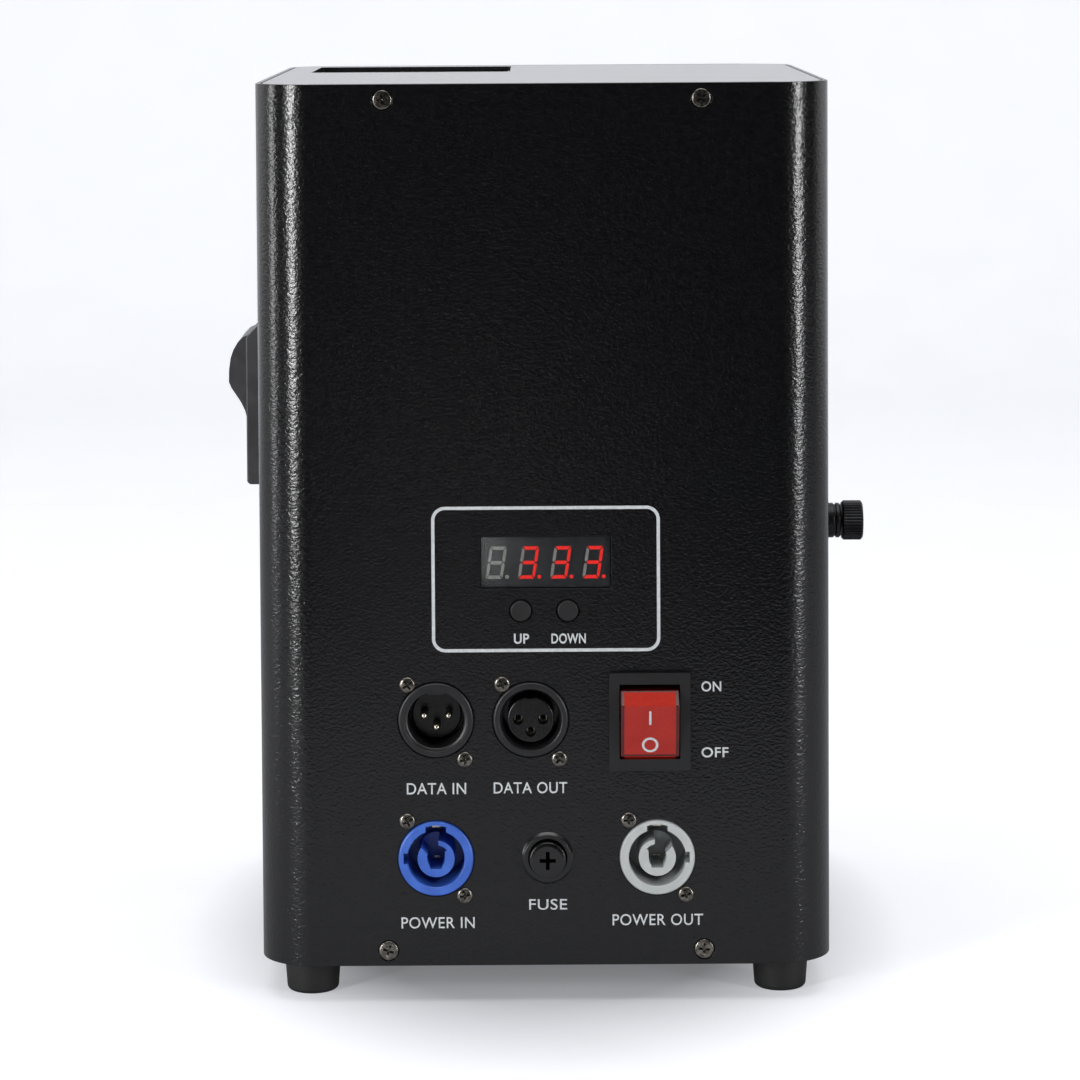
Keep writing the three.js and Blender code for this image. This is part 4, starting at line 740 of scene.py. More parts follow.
def dataInSocket():
    x, y, drop = shellCuts["dataSpots"][0]
    bore, top = dataIn["bore"] / 2, socket["proud"]
    wide, deep = dataIn["step"]
    inner = [(wide / 2, top), (wide / 2 - 0.15, top - 0.12), (wide / 2 - 0.2, top - deep),
             (bore + 0.35, top - deep - 0.1), (bore, top - deep - 0.45), (bore, -dataIn["depth"]),
             (0, -dataIn["depth"])]
    keyWide, keyDrop = dataIn["key"]
    key = block(-keyWide / 2, keyWide / 2, bore - keyDrop, bore + keyDrop, -dataIn["depth"] - 0.4,
                top - deep - 0.6)
    body = join(socketBody(inner, drop), key)
    finishPiece("dataInSocket", body, panelSpot(x, y), "socket_black", "data_in_socket", roundMm=0.1,
                angle=38)
    low, high = dataIn["insertLow"], dataIn["insertHigh"]
    disc = lathe([(0, low), (dataIn["insert"] / 2, low), (dataIn["insert"] / 2, high - 0.4),
                  (dataIn["insert"] / 2 - 0.4, high), (0, high)], 96)
    wells = [moved(rod(dataIn["pin"] + 0.2, low - 1, high + 1, 32), px, py) for px, py in dataIn["pins"]]
    finishPiece("dataInInsert", cut(disc, *wells), panelSpot(x, y), "socket_black", "data_in_insert",
                material=insertResin, roundMm=0.08)
    radius = dataIn["pin"] / 2
    profile = [(0, -13.8), (radius + 1.4, -13.8), (radius + 1.4, -12.9), (radius, -12.9)]
    profile += arc(0, dataIn["tip"] - radius, radius, 0, 90, 8)[:-1] + [(0, dataIn["tip"])]
    pins = [moved(lathe(profile, 40), px, py) for px, py in dataIn["pins"]]
    finishPiece("dataInPins", together(*pins, solderTags(dataIn["pins"], 2.4, 0.9)), panelSpot(x, y),
                "contact_metal", "data_in_pins", roundMm=0, angle=50)


dataOut = {"bore": 18.4, "lead": 19.9, "core": 14.9, "coreTop": 0.2, "holes": ((-4, 0), (4, 0), (0, -4)),
           "hole": 3.3, "low": -13.8, "base": -11.3, "holeDepth": 8}


def dataOutSocket():
    x, y, drop = shellCuts["dataSpots"][1]
    bore, top = dataOut["bore"] / 2, socket["proud"]
    inner = [(dataOut["lead"] / 2 + 0.55, top), (dataOut["lead"] / 2 + 0.1, top - 0.18),
             (dataOut["lead"] / 2, top - 0.5), (bore, -0.9), (bore, -dataIn["depth"]),
             (0, -dataIn["depth"])]
    finishPiece("dataOutSocket", socketBody(inner, drop), panelSpot(x, y), "socket_black",
                "data_out_socket", roundMm=0.1, angle=38)
    core, coreTop, low = dataOut["core"] / 2, dataOut["coreTop"], dataOut["low"]
    body = lathe([(0, low), (bore - 0.2, low), (bore - 0.2, dataOut["base"]), (core, dataOut["base"]),
                  (core, coreTop - 0.55), (core - 0.15, coreTop - 0.2), (core - 0.55, coreTop),
                  (0, coreTop)], 96)
    tools = []
    for px, py in dataOut["holes"]:
        tools.append(moved(lathe([(0, -dataOut["holeDepth"]), (1.45, -dataOut["holeDepth"]), (1.45, -0.6),
                                  (dataOut["hole"] / 2, -0.3), (dataOut["hole"] / 2 + 0.05, coreTop + 1),
                                  (0, coreTop + 1)], 40), px, py))
    tools.append(lathe([(0, coreTop - 0.18), (0.35, coreTop - 0.18), (0.55, coreTop + 1), (0, coreTop + 1)],
                       24))
    tools.append(block(-1.3, 1.3, core - 0.7, core + 2, dataOut["base"] + 0.5, coreTop + 1))
    finishPiece("dataOutInsert", cut(body, *tools), panelSpot(x, y), "socket_black", "data_out_insert",
                material=insertResin, roundMm=0.08, angle=38)
    sleeves = []
    for px, py in dataOut["holes"]:
        sleeves.append(moved(lathe([(1.05, -7.9), (1.4, -7.9), (1.4, -3.4), (1.25, -3), (1.05, -3),
                                    (1.05, -7.9)], 32), px, py))
    finishPiece("dataOutContacts", together(*sleeves, solderTags(dataOut["holes"], 2.4, 0.9)),
                panelSpot(x, y), "contact_metal", roundMm=0, angle=50)


# Power sockets: a keyed well round a slit core. The outlet is the mirror image of the inlet.
power = {
    "bore": 18.5, "depth": 17, "core": 12.0, "coreDown": -0.3, "coreTop": -0.4, "holeFloor": -14,
         "slotFloor": -12.5,
    "topKey": (6.7, 10.95), "sideKey": (-1.6, 1.9, 10.5), "keyDepth": -7,
    "hole": ((0.8, 4.1), (2.2, 3.6), (3.35, 2.75), (3.5, 2.45), (2.9, 2.05), (2.85, 0.9), (2.75, -1.4),
             (1.95, -3.0),
             (1.75, -3.6), (-1.85, -3.6), (-2.05, -3.0), (-2.85, -1.2), (-3.0, 0.8)),
    "slot": ((0.8, 0), (0.8, 9), (-9, 9), (-6.4, 5.1), (-2.7, 1.1), (-2, 0)),
    "tagSpots": ((-5, 4), (5, 4), (0, -5)),
}


def powerSocket(name, spot, mirror, slotName):
    x, y, drop = spot
    top, bore = socket["proud"], power["bore"] / 2
    inner = [(bore + 0.25, top), (bore, top - 0.25), (bore, -power["depth"]), (0, -power["depth"])]
    body = socketBody(inner, drop)
    keyWide, keyReach = power["topKey"]
    arc = [(keyReach * math.sin(a), keyReach * math.cos(a))
           for a in [math.asin(keyWide / 2 / keyReach) * (1 - k / 4) for k in range(9)]]
    topKey = prism([(-keyWide / 2, 0), (keyWide / 2, 0)] + arc, power["keyDepth"], top + 1)
    low, high, reach = power["sideKey"]
    sideKey = block(*sorted((0, -mirror * reach)), low, high, power["keyDepth"], top + 1)
    body = cut(body, topKey, sideKey)
    core = prism(circle(power["core"], 0, power["coreDown"], 96), -power["depth"] - 1, power["coreTop"])
    hole = prism([(mirror * px, py) for px, py in power["hole"]], power["holeFloor"], top)
    slot = prism([(mirror * px, py) for px, py in power["slot"]], power["slotFloor"], top)
    core = cut(core, hole, slot)
    finishPiece(name, together(body, core), panelSpot(x, y), slotName,
                "power_in_socket" if slotName == "inlet_blue" else "power_out_socket", roundMm=0.14,
                angle=38)
    # Silvered contacts deep in the well and at its back.
    blades = [moved(block(-1.6, 1.6, -0.35, 0.35, -power["depth"], -12.5), 0, side * 7.5)
              for side in (-1, 1)]
    post = block(-1, 1, -2.6, -1.9, power["holeFloor"] - 1, -11.5)
    finishPiece(name + "Contacts", together(*blades, post, solderTags(power["tagSpots"], 4.8, 0.8)),
                panelSpot(x, y), "contact_metal", roundMm=0.08)


def flangeFixings():
    for index, (x, y) in enumerate(flangeScrews):
        head = panScrew(socket["screwHead"], socket["screwProud"], 0.02, socket["screwShank"],
                        socket["screwReach"], socket["screwCross"],
                        (0.62, 0.2, 0.35, 0.9, 0.5, 0.2, 0.05, 0.28)[index], 0.42)
        finishPiece("flangeScrew%d" % (index + 1), head, panelSpot(x, y), "screw_nickel", roundMm=0.06,
                    angle=42)
    high = socket["seat"] - socket["thick"] - 0.05
    nuts = [moved(cut(rod(socket["nut"] / math.cos(math.pi / 6), high - 2.4, high, 6),
                      rod(socket["screwShank"] + 0.1, high - 4, high + 1, 24)), x, y)
            for x, y in flangeScrews]
    finishPiece("flangeNuts", together(*nuts), panelSpot(0, 0), "screw_nickel", roundMm=0.2)


# Fuse holder: a bayonet cap in a flange whose sloped rim catches the overhead lamp.
fuseHolder = {"tube": 14.4, "length": 40, "flange": 17, "rim": 0.85, "low": 0.2, "high": 1.2,
              "capBore": 12.3, "cap": 11.8, "capProud": 4.4, "capDepth": 7.5, "capSocket": 4,
              "cross": (5.2, 1.2, 4.6)}


def fuseParts():
    x, y, _ = shellCuts["fuse"]
    tube, flange = fuseHolder["tube"] / 2, fuseHolder["flange"] / 2
    low, high = fuseHolder["low"], fuseHolder["high"]
    bore, floor = fuseHolder["capBore"] / 2, -fuseHolder["capDepth"] - 0.2
    outer = [(0, -fuseHolder["length"]), (tube - 0.8, -fuseHolder["length"]),
             (tube, -fuseHolder["length"] + 0.8), (tube, low), (flange, low), (flange, low + 0.12),
             (flange - fuseHolder["rim"], high - 0.05), (flange - fuseHolder["rim"] - 0.15, high),
             (bore + 0.2, high), (bore, high - 0.2), (bore, floor), (3, floor), (3, -36), (0, -36)]
    body = lathe(outer, 128)
    thread = [lathe([(tube - 0.2, z), (tube + 0.02, z - 0.35), (tube - 0.2, z - 0.7), (tube - 0.2, z)], 96)
              for z in [-2.2 - 0.9 * k for k in range(12)]]
    groove = [block(-9, 9, tube - 1, tube + 2, -20, -1.6)]
    body = cut(body, *groove, *thread)
    tag = block(-2.4, 2.4, -0.4, 0.4, -45, -fuseHolder["length"] + 1)
    finishPiece("fuseHolder", body, panelSpot(x, y), "fuse_black", "fuse_holder", roundMm=0.05, angle=30)
    finishPiece("fuseTags", together(tag, block(6.4, 7.8, -2.4, 2.4, -30, -29.2)), panelSpot(x, y),
                "contact_metal", roundMm=0.1)
    radius, top, depth = fuseHolder["cap"] / 2, fuseHolder["capProud"], fuseHolder["capDepth"]
    grip = 2.8
    profile = [(0, -depth + fuseHolder["capSocket"]), (grip, -depth + fuseHolder["capSocket"]),
               (grip, -depth), (radius - 0.5, -depth), (radius, -depth + 0.5), (radius, top - 0.7)]
    profile += arc(radius - 0.5, top - 0.7, 0.5, 18, 90, 4)
    profile += [(radius - 1.0, top - 0.12), (radius - 1.6, top), (0, top)]
    wide, thin, deep = fuseHolder["cross"]
    groove = [(-thin / 2, top + 1), (-thin / 2, top - deep / 2), (0, top - deep),
              (thin / 2, top - deep / 2), (thin / 2, top + 1)]
    arms = [pushedX(groove, -wide / 2, wide / 2), pushedY(groove, -wide / 2 - 0.35, wide / 2 + 0.35)]
    finishPiece("fuseCap", cut(lathe(profile, 96), *arms), panelSpot(x, y), "fuse_black", "fuse_cap",
                body="fuse_cap", roundMm=0.1, angle=40)


fuseLink = {"diameter": 5.2, "top": -3.7, "length": 20, "capLength": 5}


def fuseCartridge():
    x, y, _ = shellCuts["fuse"]
    radius, top = fuseLink["diameter"] / 2, fuseLink["top"]
    low, cap = top - fuseLink["length"], fuseLink["capLength"]
    glass = lathe([(radius - 0.5, low + cap - 1), (radius - 0.15, low + cap - 1),
                   (radius - 0.15, top - cap + 1), (radius - 0.5, top - cap + 1),
                   (radius - 0.5, low + cap - 1)], 48)
    finishPiece("fuseGlass", glass, panelSpot(x, y), "fuse_glass", body="fuse", roundMm=0)
    caps = []
    for z0, z1 in ((low, low + cap), (top - cap, top)):
        caps.append(lathe([(0, z0), (radius - 0.4, z0), (radius, z0 + 0.4), (radius, z1 - 0.4),
                           (radius - 0.4, z1), (0, z1)], 48))
    wire = rod(0.3, low + cap - 1, top - cap + 1, 12)
    finishPiece("fuseCaps", together(*caps, wire), panelSpot(x, y), "contact_metal", "fuse", body="fuse",
                roundMm=0, angle=50)


dataInSocket()
dataOutSocket()
powerSocket("powerInSocket", shellCuts["powerSpots"][0], 1, "inlet_blue")
powerSocket("powerOutSocket", shellCuts["powerSpots"][1], -1, "outlet_grey")
flangeFixings()
fuseParts()
fuseCartridge()
print("sockets and fuse made")


# Rocker switch: a plain moulded bezel, and a red rocker whose face, with painted glow, shows through a darker
# clear skirt.
switch = {
    "bezel": (26.1, 31.7, 0.5), "low": 0.2, "top": 2.4, "body": (23.4, 28.4), "depth": 22,
          "pocket": (19.6, 24.3, 13),
    "pivotDepth": 3.5, "tilt": 0.2793, "halfWidth": 9.45, "stub": 2.4, "stubReach": 10.6,
    "foot": (9.5, -4), "shoulder": (11.6, 2.8), "ridge": (9.15, 9),
    "faceHalf": 8.3, "faceShort": 0.9, "lift": 0.07, "markSpot": 4.8, "bar": (0.72, 4.9),
          "ring": (5.3, 0.78),
    "tags": ((-5, 6.5), (5, 6.5), (-5, -6.5), (5, -6.5)),
}


def switchHousing():
    x, y = shellCuts["switch"][:2]
    width, tall, round_ = switch["bezel"]
    top = switch["top"]
    bezel = prism(roundedRect(width, tall, round_), switch["low"], top)
    wide, high = switch["body"]
    body = prism(roundedRect(wide, high, 1), -switch["depth"], switch["low"] + 0.5)
    clips = [block(sx * (wide / 2 - 0.2), sx * (wide / 2 + 0.5), -4, 4, -9, -2.2) for sx in (-1, 1)]
    pocketWide, pocketHigh, pocketDeep = switch["pocket"]
    pocket = prism(roundedRect(pocketWide, pocketHigh, 0.35, steps=3), -pocketDeep, top + 2)
    pivot = barX(switch["stub"] + 0.6, -20, 20, 32, 0, 0, -switch["pivotDepth"])
    finishPiece("switchHousing", cut(join(bezel, body, *clips), pocket, pivot), panelSpot(x, y),
                "switch_black", "switch_housing", roundMm=0.22)
    blades = []
    for sx, sy in switch["tags"]:
        blade = block(sx - 3.1, sx + 3.1, sy - 0.4, sy + 0.4, -30, -switch["depth"] + 0.5)
        blades.append(cut(blade, barY(1.8, -20, 20, 24, sx, 0, -27)))
    finishPiece("switchTags", together(*blades), panelSpot(x, y), "contact_metal", roundMm=0.15)


def rockerPieces():
    # The sloping ends take a glowing copy of the red: painted light.
    glow = redPolycarbonatePaintedLight()
    x, y = shellCuts["switch"][:2]
    where = panelSpot(x, y, -switch["pivotDepth"]) @ Matrix.Rotation(switch["tilt"], 4, "X")
    (footX, footZ), (shoulderX, shoulderZ), (ridgeX,
                                             ridgeZ) = switch["foot"], switch["shoulder"], switch["ridge"]
    half = switch["halfWidth"]
    side = [(-footX, footZ), (footX, footZ), (shoulderX, shoulderZ), (ridgeX, ridgeZ), (-ridgeX, ridgeZ),
            (-shoulderX, shoulderZ)]
    stub = barX(switch["stub"], -switch["stubReach"], switch["stubReach"], 32)
    finishPiece("rockerSkirt", join(pushedX(side, -half, half), stub), where, "rocker_red", "switch_rocker",
                body="switch_rocker", roundMm=0.35, segments=3)
    lift, short, faceHalf = switch["lift"], switch["faceShort"], switch["faceHalf"]
    main = [(-ridgeX + short, ridgeZ - 1), (ridgeX, ridgeZ - 1), (ridgeX, ridgeZ + lift),
            (-ridgeX + short, ridgeZ + lift)]
    # The face glows faintly from emission: painted light.
    finishPiece("rockerFace", pushedX(main, -faceHalf, faceHalf), where, "rocker_red", body="switch_rocker",
                material=redPolycarbonatePaintedGlow(), roundMm=0.06)
    run, drop = shoulderX - ridgeX, ridgeZ - shoulderZ
    length = math.hypot(run, drop)
    outX, outZ = drop / length * lift, run / length * lift
    stop = 1 - short / length
    low = (ridgeX + run * stop, ridgeZ - drop * stop)
    # Both sloping ends carry the painted light material.
    for name, sign in (("rockerSlopeUpper", 1), ("rockerSlopeLower", -1)):
        slope = [(sign * (ridgeX - 1), ridgeZ - 1), (sign * (low[0] - 1), low[1] - 0.4),
                 (sign * (low[0] + outX), low[1] + outZ), (sign * (ridgeX + outX), ridgeZ + outZ - 0.02)]
        finishPiece(name, pushedX(slope, -faceHalf, faceHalf), where, "rocker_red", body="switch_rocker",
                    material=glow, roundMm=0.05)
    wide, tall = switch["bar"]
    outer, stroke = switch["ring"]
    base, crest = ridgeZ + lift - 0.05, ridgeZ + lift + 0.03
    barMark = prism(roundedRect(wide, tall, 0.2, 0, switch["markSpot"], 3), base, crest)
    ring = lathe([(outer / 2 - stroke, base), (outer / 2, base), (outer / 2, crest),
                  (outer / 2 - stroke, crest), (outer / 2 - stroke, base)], 72)
    finishPiece("rockerMarks", together(barMark, moved(ring, 0, -switch["markSpot"])), where, "rocker_red",
                body="switch_rocker", material=ink, roundMm=0)


# Display: a black module with four slanted digits behind a thin smoked window.
digits = {"count": 4, "pitch": 10.4, "width": 5.6, "height": 10.5, "bar": 1.1, "gap": 0.11, "slant": 0.15,
          "firstX": -15.95, "middle": -0.15, "point": 1.25, "pointOut": 1.35, "lift": 0.04}
litSegments = "abcdg"
display = {"gap": 0.6, "face": -1.3, "back": -9.7, "pane": (-1.1, -0.2), "leg": 0.5, "legEnd": -13.2,
           "legPitch": 2.54, "legRow": 6.4, "legs": ((-12.7, 6), (2, 5))}


def digitSegments():
    w, h, t, g = digits["width"], digits["height"], digits["bar"], digits["gap"]
    m = h / 2
    upper = [(0.12, h - g - 0.25), (t - g, h - t - g), (t - g, m + t / 2 + g * 2), (t / 2, m + g * 1.4),
             (0, m + t / 2)]
    lower = [(0.12, g + 0.25), (0, m - t / 2), (t / 2, m - g * 1.4), (t - g, m - t / 2 - g * 2),
             (t - g, t + g)]
    cap = [(g + 0.25, h), (t + g, h - t), (w - t - g, h - t), (w - g - 0.25, h)]
    middle = [(t / 2 + g * 2, m), (t + g, m - t / 2), (w - t - g, m - t / 2), (w - t / 2 - g * 2, m),
              (w - t - g, m + t / 2), (t + g, m + t / 2)]
    right = [[(w - x, y) for x, y in points][::-1] for points in (upper, lower)]
    base = [(x, h - y) for x, y in cap][::-1]
    shapes = {"a": cap, "b": right[0], "c": right[1], "d": base, "e": lower, "f": upper, "g": middle}
    return {key: [(x - w / 2, y - m) for x, y in points] for key, points in shapes.items()}


def displayParts():
    x, y, wide, tall = shellCuts["display"]
    gap, face, back = display["gap"], display["face"], display["back"]
    module = prism(roundedRect(wide - gap, tall - gap, 0.4, steps=3), back, face - 0.06)
    chamfer = prism(roundedRect(wide - gap - 1, tall - gap - 1, 0.3, steps=3), face - 0.2, face)
    finishPiece("displayModule", join(module, chamfer), panelSpot(x, y), "display_black", "display_module",
                material=printedDisplayFilm(), roundMm=0.05)
    half, pitch, row = display["leg"] / 2, display["legPitch"], display["legRow"]
    legSpots = [start + pitch * k for start, count in display["legs"] for k in range(count)]
    legs = [block(px - half, px + half, py - half, py + half, display["legEnd"], back + 0.1)
            for px in legSpots for py in (-row, row)]
    finishPiece("displayLegs", together(*legs), panelSpot(x, y), "contact_metal", roundMm=0)
    lit, unlit = [], []
    for place in range(digits["count"]):
        cx = digits["firstX"] + place * digits["pitch"]
        for key, points in digitSegments().items():
            slanted = [(cx + px + digits["slant"] * py, digits["middle"] + py) for px, py in points]
            shape = prism(slanted, face - 0.02, face + digits["lift"])
            (lit if place and key in litSegments else unlit).append(shape)
        pointY = -digits["height"] / 2 + digits["point"] / 2
        pointX = cx + digits["width"] / 2 + digits["pointOut"] + digits["slant"] * pointY
        point = rod(digits["point"], face - 0.02, face + digits["lift"], 24)
        point = moved(point, pointX, digits["middle"] + pointY)
        (lit if place else unlit).append(point)
    finishPiece("digitsLit", together(*lit), panelSpot(x, y), "display_black", material=litEpoxySegment(),
                roundMm=0)
    finishPiece("digitsUnlit", together(*unlit), panelSpot(x, y), "display_black",
                material=unlitEpoxySegment(), roundMm=0)
    pane = prism(roundedRect(wide - gap, tall - gap, 0.4, steps=3), *display["pane"])
    finishPiece("displayWindow", pane, panelSpot(x, y), "window_smoke", "display_window", roundMm=0.15)


# Buttons with a soft edge, and the board that carries their key switches and the display.
button = {"diameter": 6.7, "proud": 1, "edge": 0.45, "flange": 9.2, "stem": 3.2, "stemEnd": -6.8}


def pushButtons():
    radius, top, edge = button["diameter"] / 2, button["proud"], button["edge"]
    profile = [(0, button["stemEnd"]), (button["stem"] / 2, button["stemEnd"]), (button["stem"] / 2, -2.7),
               (button["flange"] / 2, -2.7), (button["flange"] / 2, -1.75), (radius, -1.7),
               (radius, top - edge)]
    profile += arc(radius - edge, top - edge, edge, 15, 90, 5)
    profile += [(radius * 0.6, top - 0.04), (0, top - 0.1)]
    for name, (x, y) in zip(("up_button", "down_button"), shellCuts["buttons"]):
        finishPiece(name.replace("_b", "B"), lathe(profile, 72), panelSpot(x, y), "button_black", name,
                    body=name, roundMm=0)


def lettering(text, width, height, bold=0.0):
    curve = bpy.data.curves.new("lettering", "FONT")
    curve.body, curve.align_x, curve.align_y = text, "LEFT", "BOTTOM_BASELINE"
    curve.size, curve.space_character, curve.resolution_u = 10, 1.06, 6
    curve.offset, curve.extrude = bold, 0.035
    holder = bpy.data.objects.new("lettering", curve)
    scene.collection.objects.link(holder)
    mesh = bakedMesh(holder)
    bpy.data.objects.remove(holder)
    bpy.data.curves.remove(curve)
    shape = bmesh.new()
    shape.from_mesh(mesh)
    bpy.data.meshes.remove(mesh)
    spots = [vert.co for vert in shape.verts]
    low = [min(spot[i] for spot in spots) for i in (0, 1)]
    high = [max(spot[i] for spot in spots) for i in (0, 1)]
    grow = Matrix.Diagonal((width / (high[0] - low[0]), height / (high[1] - low[1]), 1, 1))
    shape.transform(grow @ Matrix.Translation((-(low[0] + high[0]) / 2, -(low[1] + high[1]) / 2, 0)))
    return shape


# Screen print: text, spot on the face, width and cap height, and how heavy the strokes are.
prints = {
    "dataIn": ("DATA IN", -35.3, 58, 19.2, 3.7, 0.06), "dataOut": ("DATA OUT", -4.9, 58.1, 23.8, 3.7, 0.06),
    "powerIn": ("POWER IN", -35.1, 14.1, 23.7, 3.7, 0.04), "fuse": ("FUSE", 0.6, 19.9, 12.3, 3.5, 0.04),
    "powerOut": ("POWER OUT", 36.1, 14.7, 29.3, 3.7, 0.04), "on": ("ON", 53.7, 90.8, 6.4, 3.3, 0.13),
    "off": ("OFF", 54.8, 69.3, 8.7, 3.3, 0.13), "up": ("UP", -7.5, 106.7, 4.9, 3.3, 0.2),
    "down": ("DOWN", 7.7, 106.7, 11.1, 3.3, 0.2),
}
frameLine = {"left": -36.4, "right": 37.3, "low": 102.4, "high": 149.7, "round": 4.4, "wide": 1.05,
             "film": 0.03}


def screenPrint():
    for name, (text, x, y, width, height, bold) in prints.items():
        finishPiece(name + "Legend", lettering(text, width, height, bold), panelSpot(x, y), "powder_coat",
                    material=ink, roundMm=0)
    values = frameLine
    width, tall = values["right"] - values["left"], values["high"] - values["low"]
    middle = ((values["left"] + values["right"]) / 2, (values["low"] + values["high"]) / 2)
    thin, film = values["wide"], values["film"]
    outer = roundedRect(width, tall, values["round"], *middle, 16)
    inner = roundedRect(width - 2 * thin, tall - 2 * thin, values["round"] - thin, *middle, 16)
    line = bmesh.new()
    rings = [[line.verts.new((x, y, z)) for x, y in points]
             for points, z in ((outer, -film), (outer, film), (inner, film), (inner, -film))]
    for first, second in zip(rings, rings[1:] + rings[:1]):
        bridge(line, first, second)
    finishPiece("frameLine", line, panelSpot(0, 0), "powder_coat", material=ink, roundMm=0)


switchHousing()
rockerPieces()
displayParts()
pushButtons()
screenPrint()
print("switch, display and print made")


# Fuel door in the left wall, its frame, and the hinge with its countersunk screws.
door = {"outer": -93, "inner": -91.5, "near": -32, "far": 74, "low": 30.8, "high": 261.2, "corner": 3,
        "hole": (-20.4, 20.4, 175.6, 196.4)}
doorRing = {"back": -91.3, "sheet": 1.5, "outer": (-40, 82, 22, 270), "mouth": (-27, 69, 35, 257),
            "corner": 5}
hinge = {"x": -95.8, "y": 74.8, "low": 86, "pitch": 24, "count": 5, "knuckle": 5.2, "pin": 2.2, "room": 0.2,
         "leaf": 9, "thick": 1, "screw": 3.1, "screwReach": 6.3}


def sideSheet(box, corner, low, high):
    y0, y1, z0, z1 = box
    outline = roundedRect(y1 - y0, z1 - z0, corner, (y0 + y1) / 2, (z0 + z1) / 2, 8)
    return pushedX(outline, low, high)


def fuelDoorParts():
    leaf = sideSheet((door["near"], door["far"], door["low"], door["high"]), door["corner"], door["outer"],
                     door["inner"])
    hole = sideSheet(door["hole"], 1, door["outer"] - 2, door["inner"] + 2)
    finishPiece("fuelDoor", cut(leaf, hole), inMetres, "powder_coat", "fuel_door", body="door", roundMm=0.3,
                segments=3)
    low, high = doorRing["back"], doorRing["back"] + doorRing["sheet"]
    ring = sideSheet(doorRing["outer"], doorRing["corner"], low, high)
    mouth = sideSheet(doorRing["mouth"], doorRing["corner"], low - 2, high + 2)
    welds = [moved(alongX(lathe([(0, -0.25), (1.6, -0.2), (2.4, 0.4), (0, 0.4)], 24)), high, y, z)
             for y in (-33.5, 75.5) for z in (40, 100, 160, 220)]
    finishPiece("doorFrame", cut(ring, mouth, *welds), inMetres, "bare_plate", "door_frame", roundMm=0.2)


def hingeLeafPiece(name, side, first, body, replaced):
    x, y, room = hinge["x"], hinge["y"], hinge["room"]
    wall = x + hinge["knuckle"] / 2
    start, end = sorted((y + side * (hinge["knuckle"] / 2 + room), y + side * hinge["leaf"]))
    top = hinge["low"] + hinge["pitch"] * hinge["count"]
    plateShape = block(wall - hinge["thick"], wall, start, end, hinge["low"], top)
    tools, shapes = [], [plateShape]
    for i in range(first, hinge["count"], 2):
        low = hinge["low"] + i * hinge["pitch"] + (room if i else 0)
        high = hinge["low"] + (i + 1) * hinge["pitch"] - (room if i < hinge["count"] - 1 else 0)
        tab = sorted((y, y + side * (hinge["knuckle"] / 2 + 2 * room)))
        shapes.append(block(wall - hinge["thick"], wall - 0.01, *tab, low, high))
        shapes.append(moved(rod(hinge["knuckle"], low, high, 40), x, y))
        tools.append(moved(rod(hinge["pin"] + 2 * room, low - 1, high + 1, 32), x, y))
        slit = block(wall - hinge["thick"] - 0.35, wall - hinge["thick"] - 0.05,
                     *sorted((y + side * 0.9, y + side * 3)), low - 1, high + 1)
        tools.append(slit)
    spots = [(y + side * hinge["screwReach"], hinge["low"] + 12 + k * 48) for k in range(3)]
    for sy, sz in spots:
        sink = lathe([(0, -3), (1.3, -3), (1.3, 0.3), (hinge["screw"] / 2 + 0.1, 1.05),
                      (hinge["screw"] / 2 + 0.1, 2), (0, 2)], 32)
        tools.append(moved(alongX(moved(sink, 0, 0, 0, math.pi, "X")), wall, sy, sz))
    finishPiece(name, cut(join(*shapes), *tools), inMetres, "bare_plate", replaced, body=body, roundMm=0.15)
    heads = []
    for index, (sy, sz) in enumerate(spots):
        head = lathe([(0, -1), (1.1, -1), (1.1, 0.2), (hinge["screw"] / 2, 0.92), (0, 0.96)], 32)
        arms = [moved(block(-1, 1, -0.16, 0.16, 0.5, 2), 0, 0, 0, 0.4 + index + turn)
                for turn in (0, math.pi / 2)]
        heads.append(moved(alongX(moved(cut(head, *arms), 0, 0, 0, math.pi, "X")), wall, sy, sz))
    finishPiece(name + "Screws", together(*heads), inMetres, "screw_nickel", body=body, roundMm=0)


def hingeParts():
    hingeLeafPiece("hingeCaseLeaf", 1, 0, "case", "hinge_case_leaf")
    hingeLeafPiece("hingeDoorLeaf", -1, 1, "door", "hinge_door_leaf")
    low, high, radius = hinge["low"], hinge["low"] + hinge["pitch"] * hinge["count"], hinge["pin"] / 2
    pin = lathe([(0, low), (radius - 0.35, low + 0.02), (radius, low + 0.35), (radius, high - 0.35),
                 (radius - 0.35, high - 0.02), (0, high)], 40)
    finishPiece("hingePin", moved(pin, hinge["x"], hinge["y"]), inMetres, "steel_pin", "hinge_pin",
                roundMm=0)


# Latch: a proud frame with a rocking paddle. The paddle's dome stands over a scoop for the finger.
latch = {"wall": -93.2, "face": -101.9, "near": -22.5, "far": 22.5, "low": 157.8, "faceTop": 208.6,
         "top": 214.4, "chamfer": 5, "pocket": (-18.5, 18.5, 174, 210.2), "pocketBack": -95.3,
         "pivot": (-98.8, 206), "pin": 2.4, "pinEnd": 21.3, "box": (-93.4, -83.5, -20, 20, 176, 196),
         "channel": (-90.15, -85.65, -21, 13, 180.75, 191.25), "half": 18.1,
         "bolt": (-89.9, -85.9, -26, 8, 181, 191), "pinPlay": 0.4, "pinRoom": 21.5,
         "grooveAt": (-4, -2.9, -14, 14), "grooveTop": -26.8, "groovePitch": 1.6, "groove": 0.6}
paddle = [(2.6, -31.4), (2.6, 1.9), (1.3, 3.04), (-2.6, 3.04), (-4.55, 2.2), (-6.3, 0.35), (-7.75, -2.1),
          (-8.75, -5), (-9.3, -9), (-9.4, -13.2), (-8.55, -15.3), (-7, -17.6), (-5.2, -20.4), (-3.9, -23.2),
          (-3.2, -26), (-3.2, -31.4)]


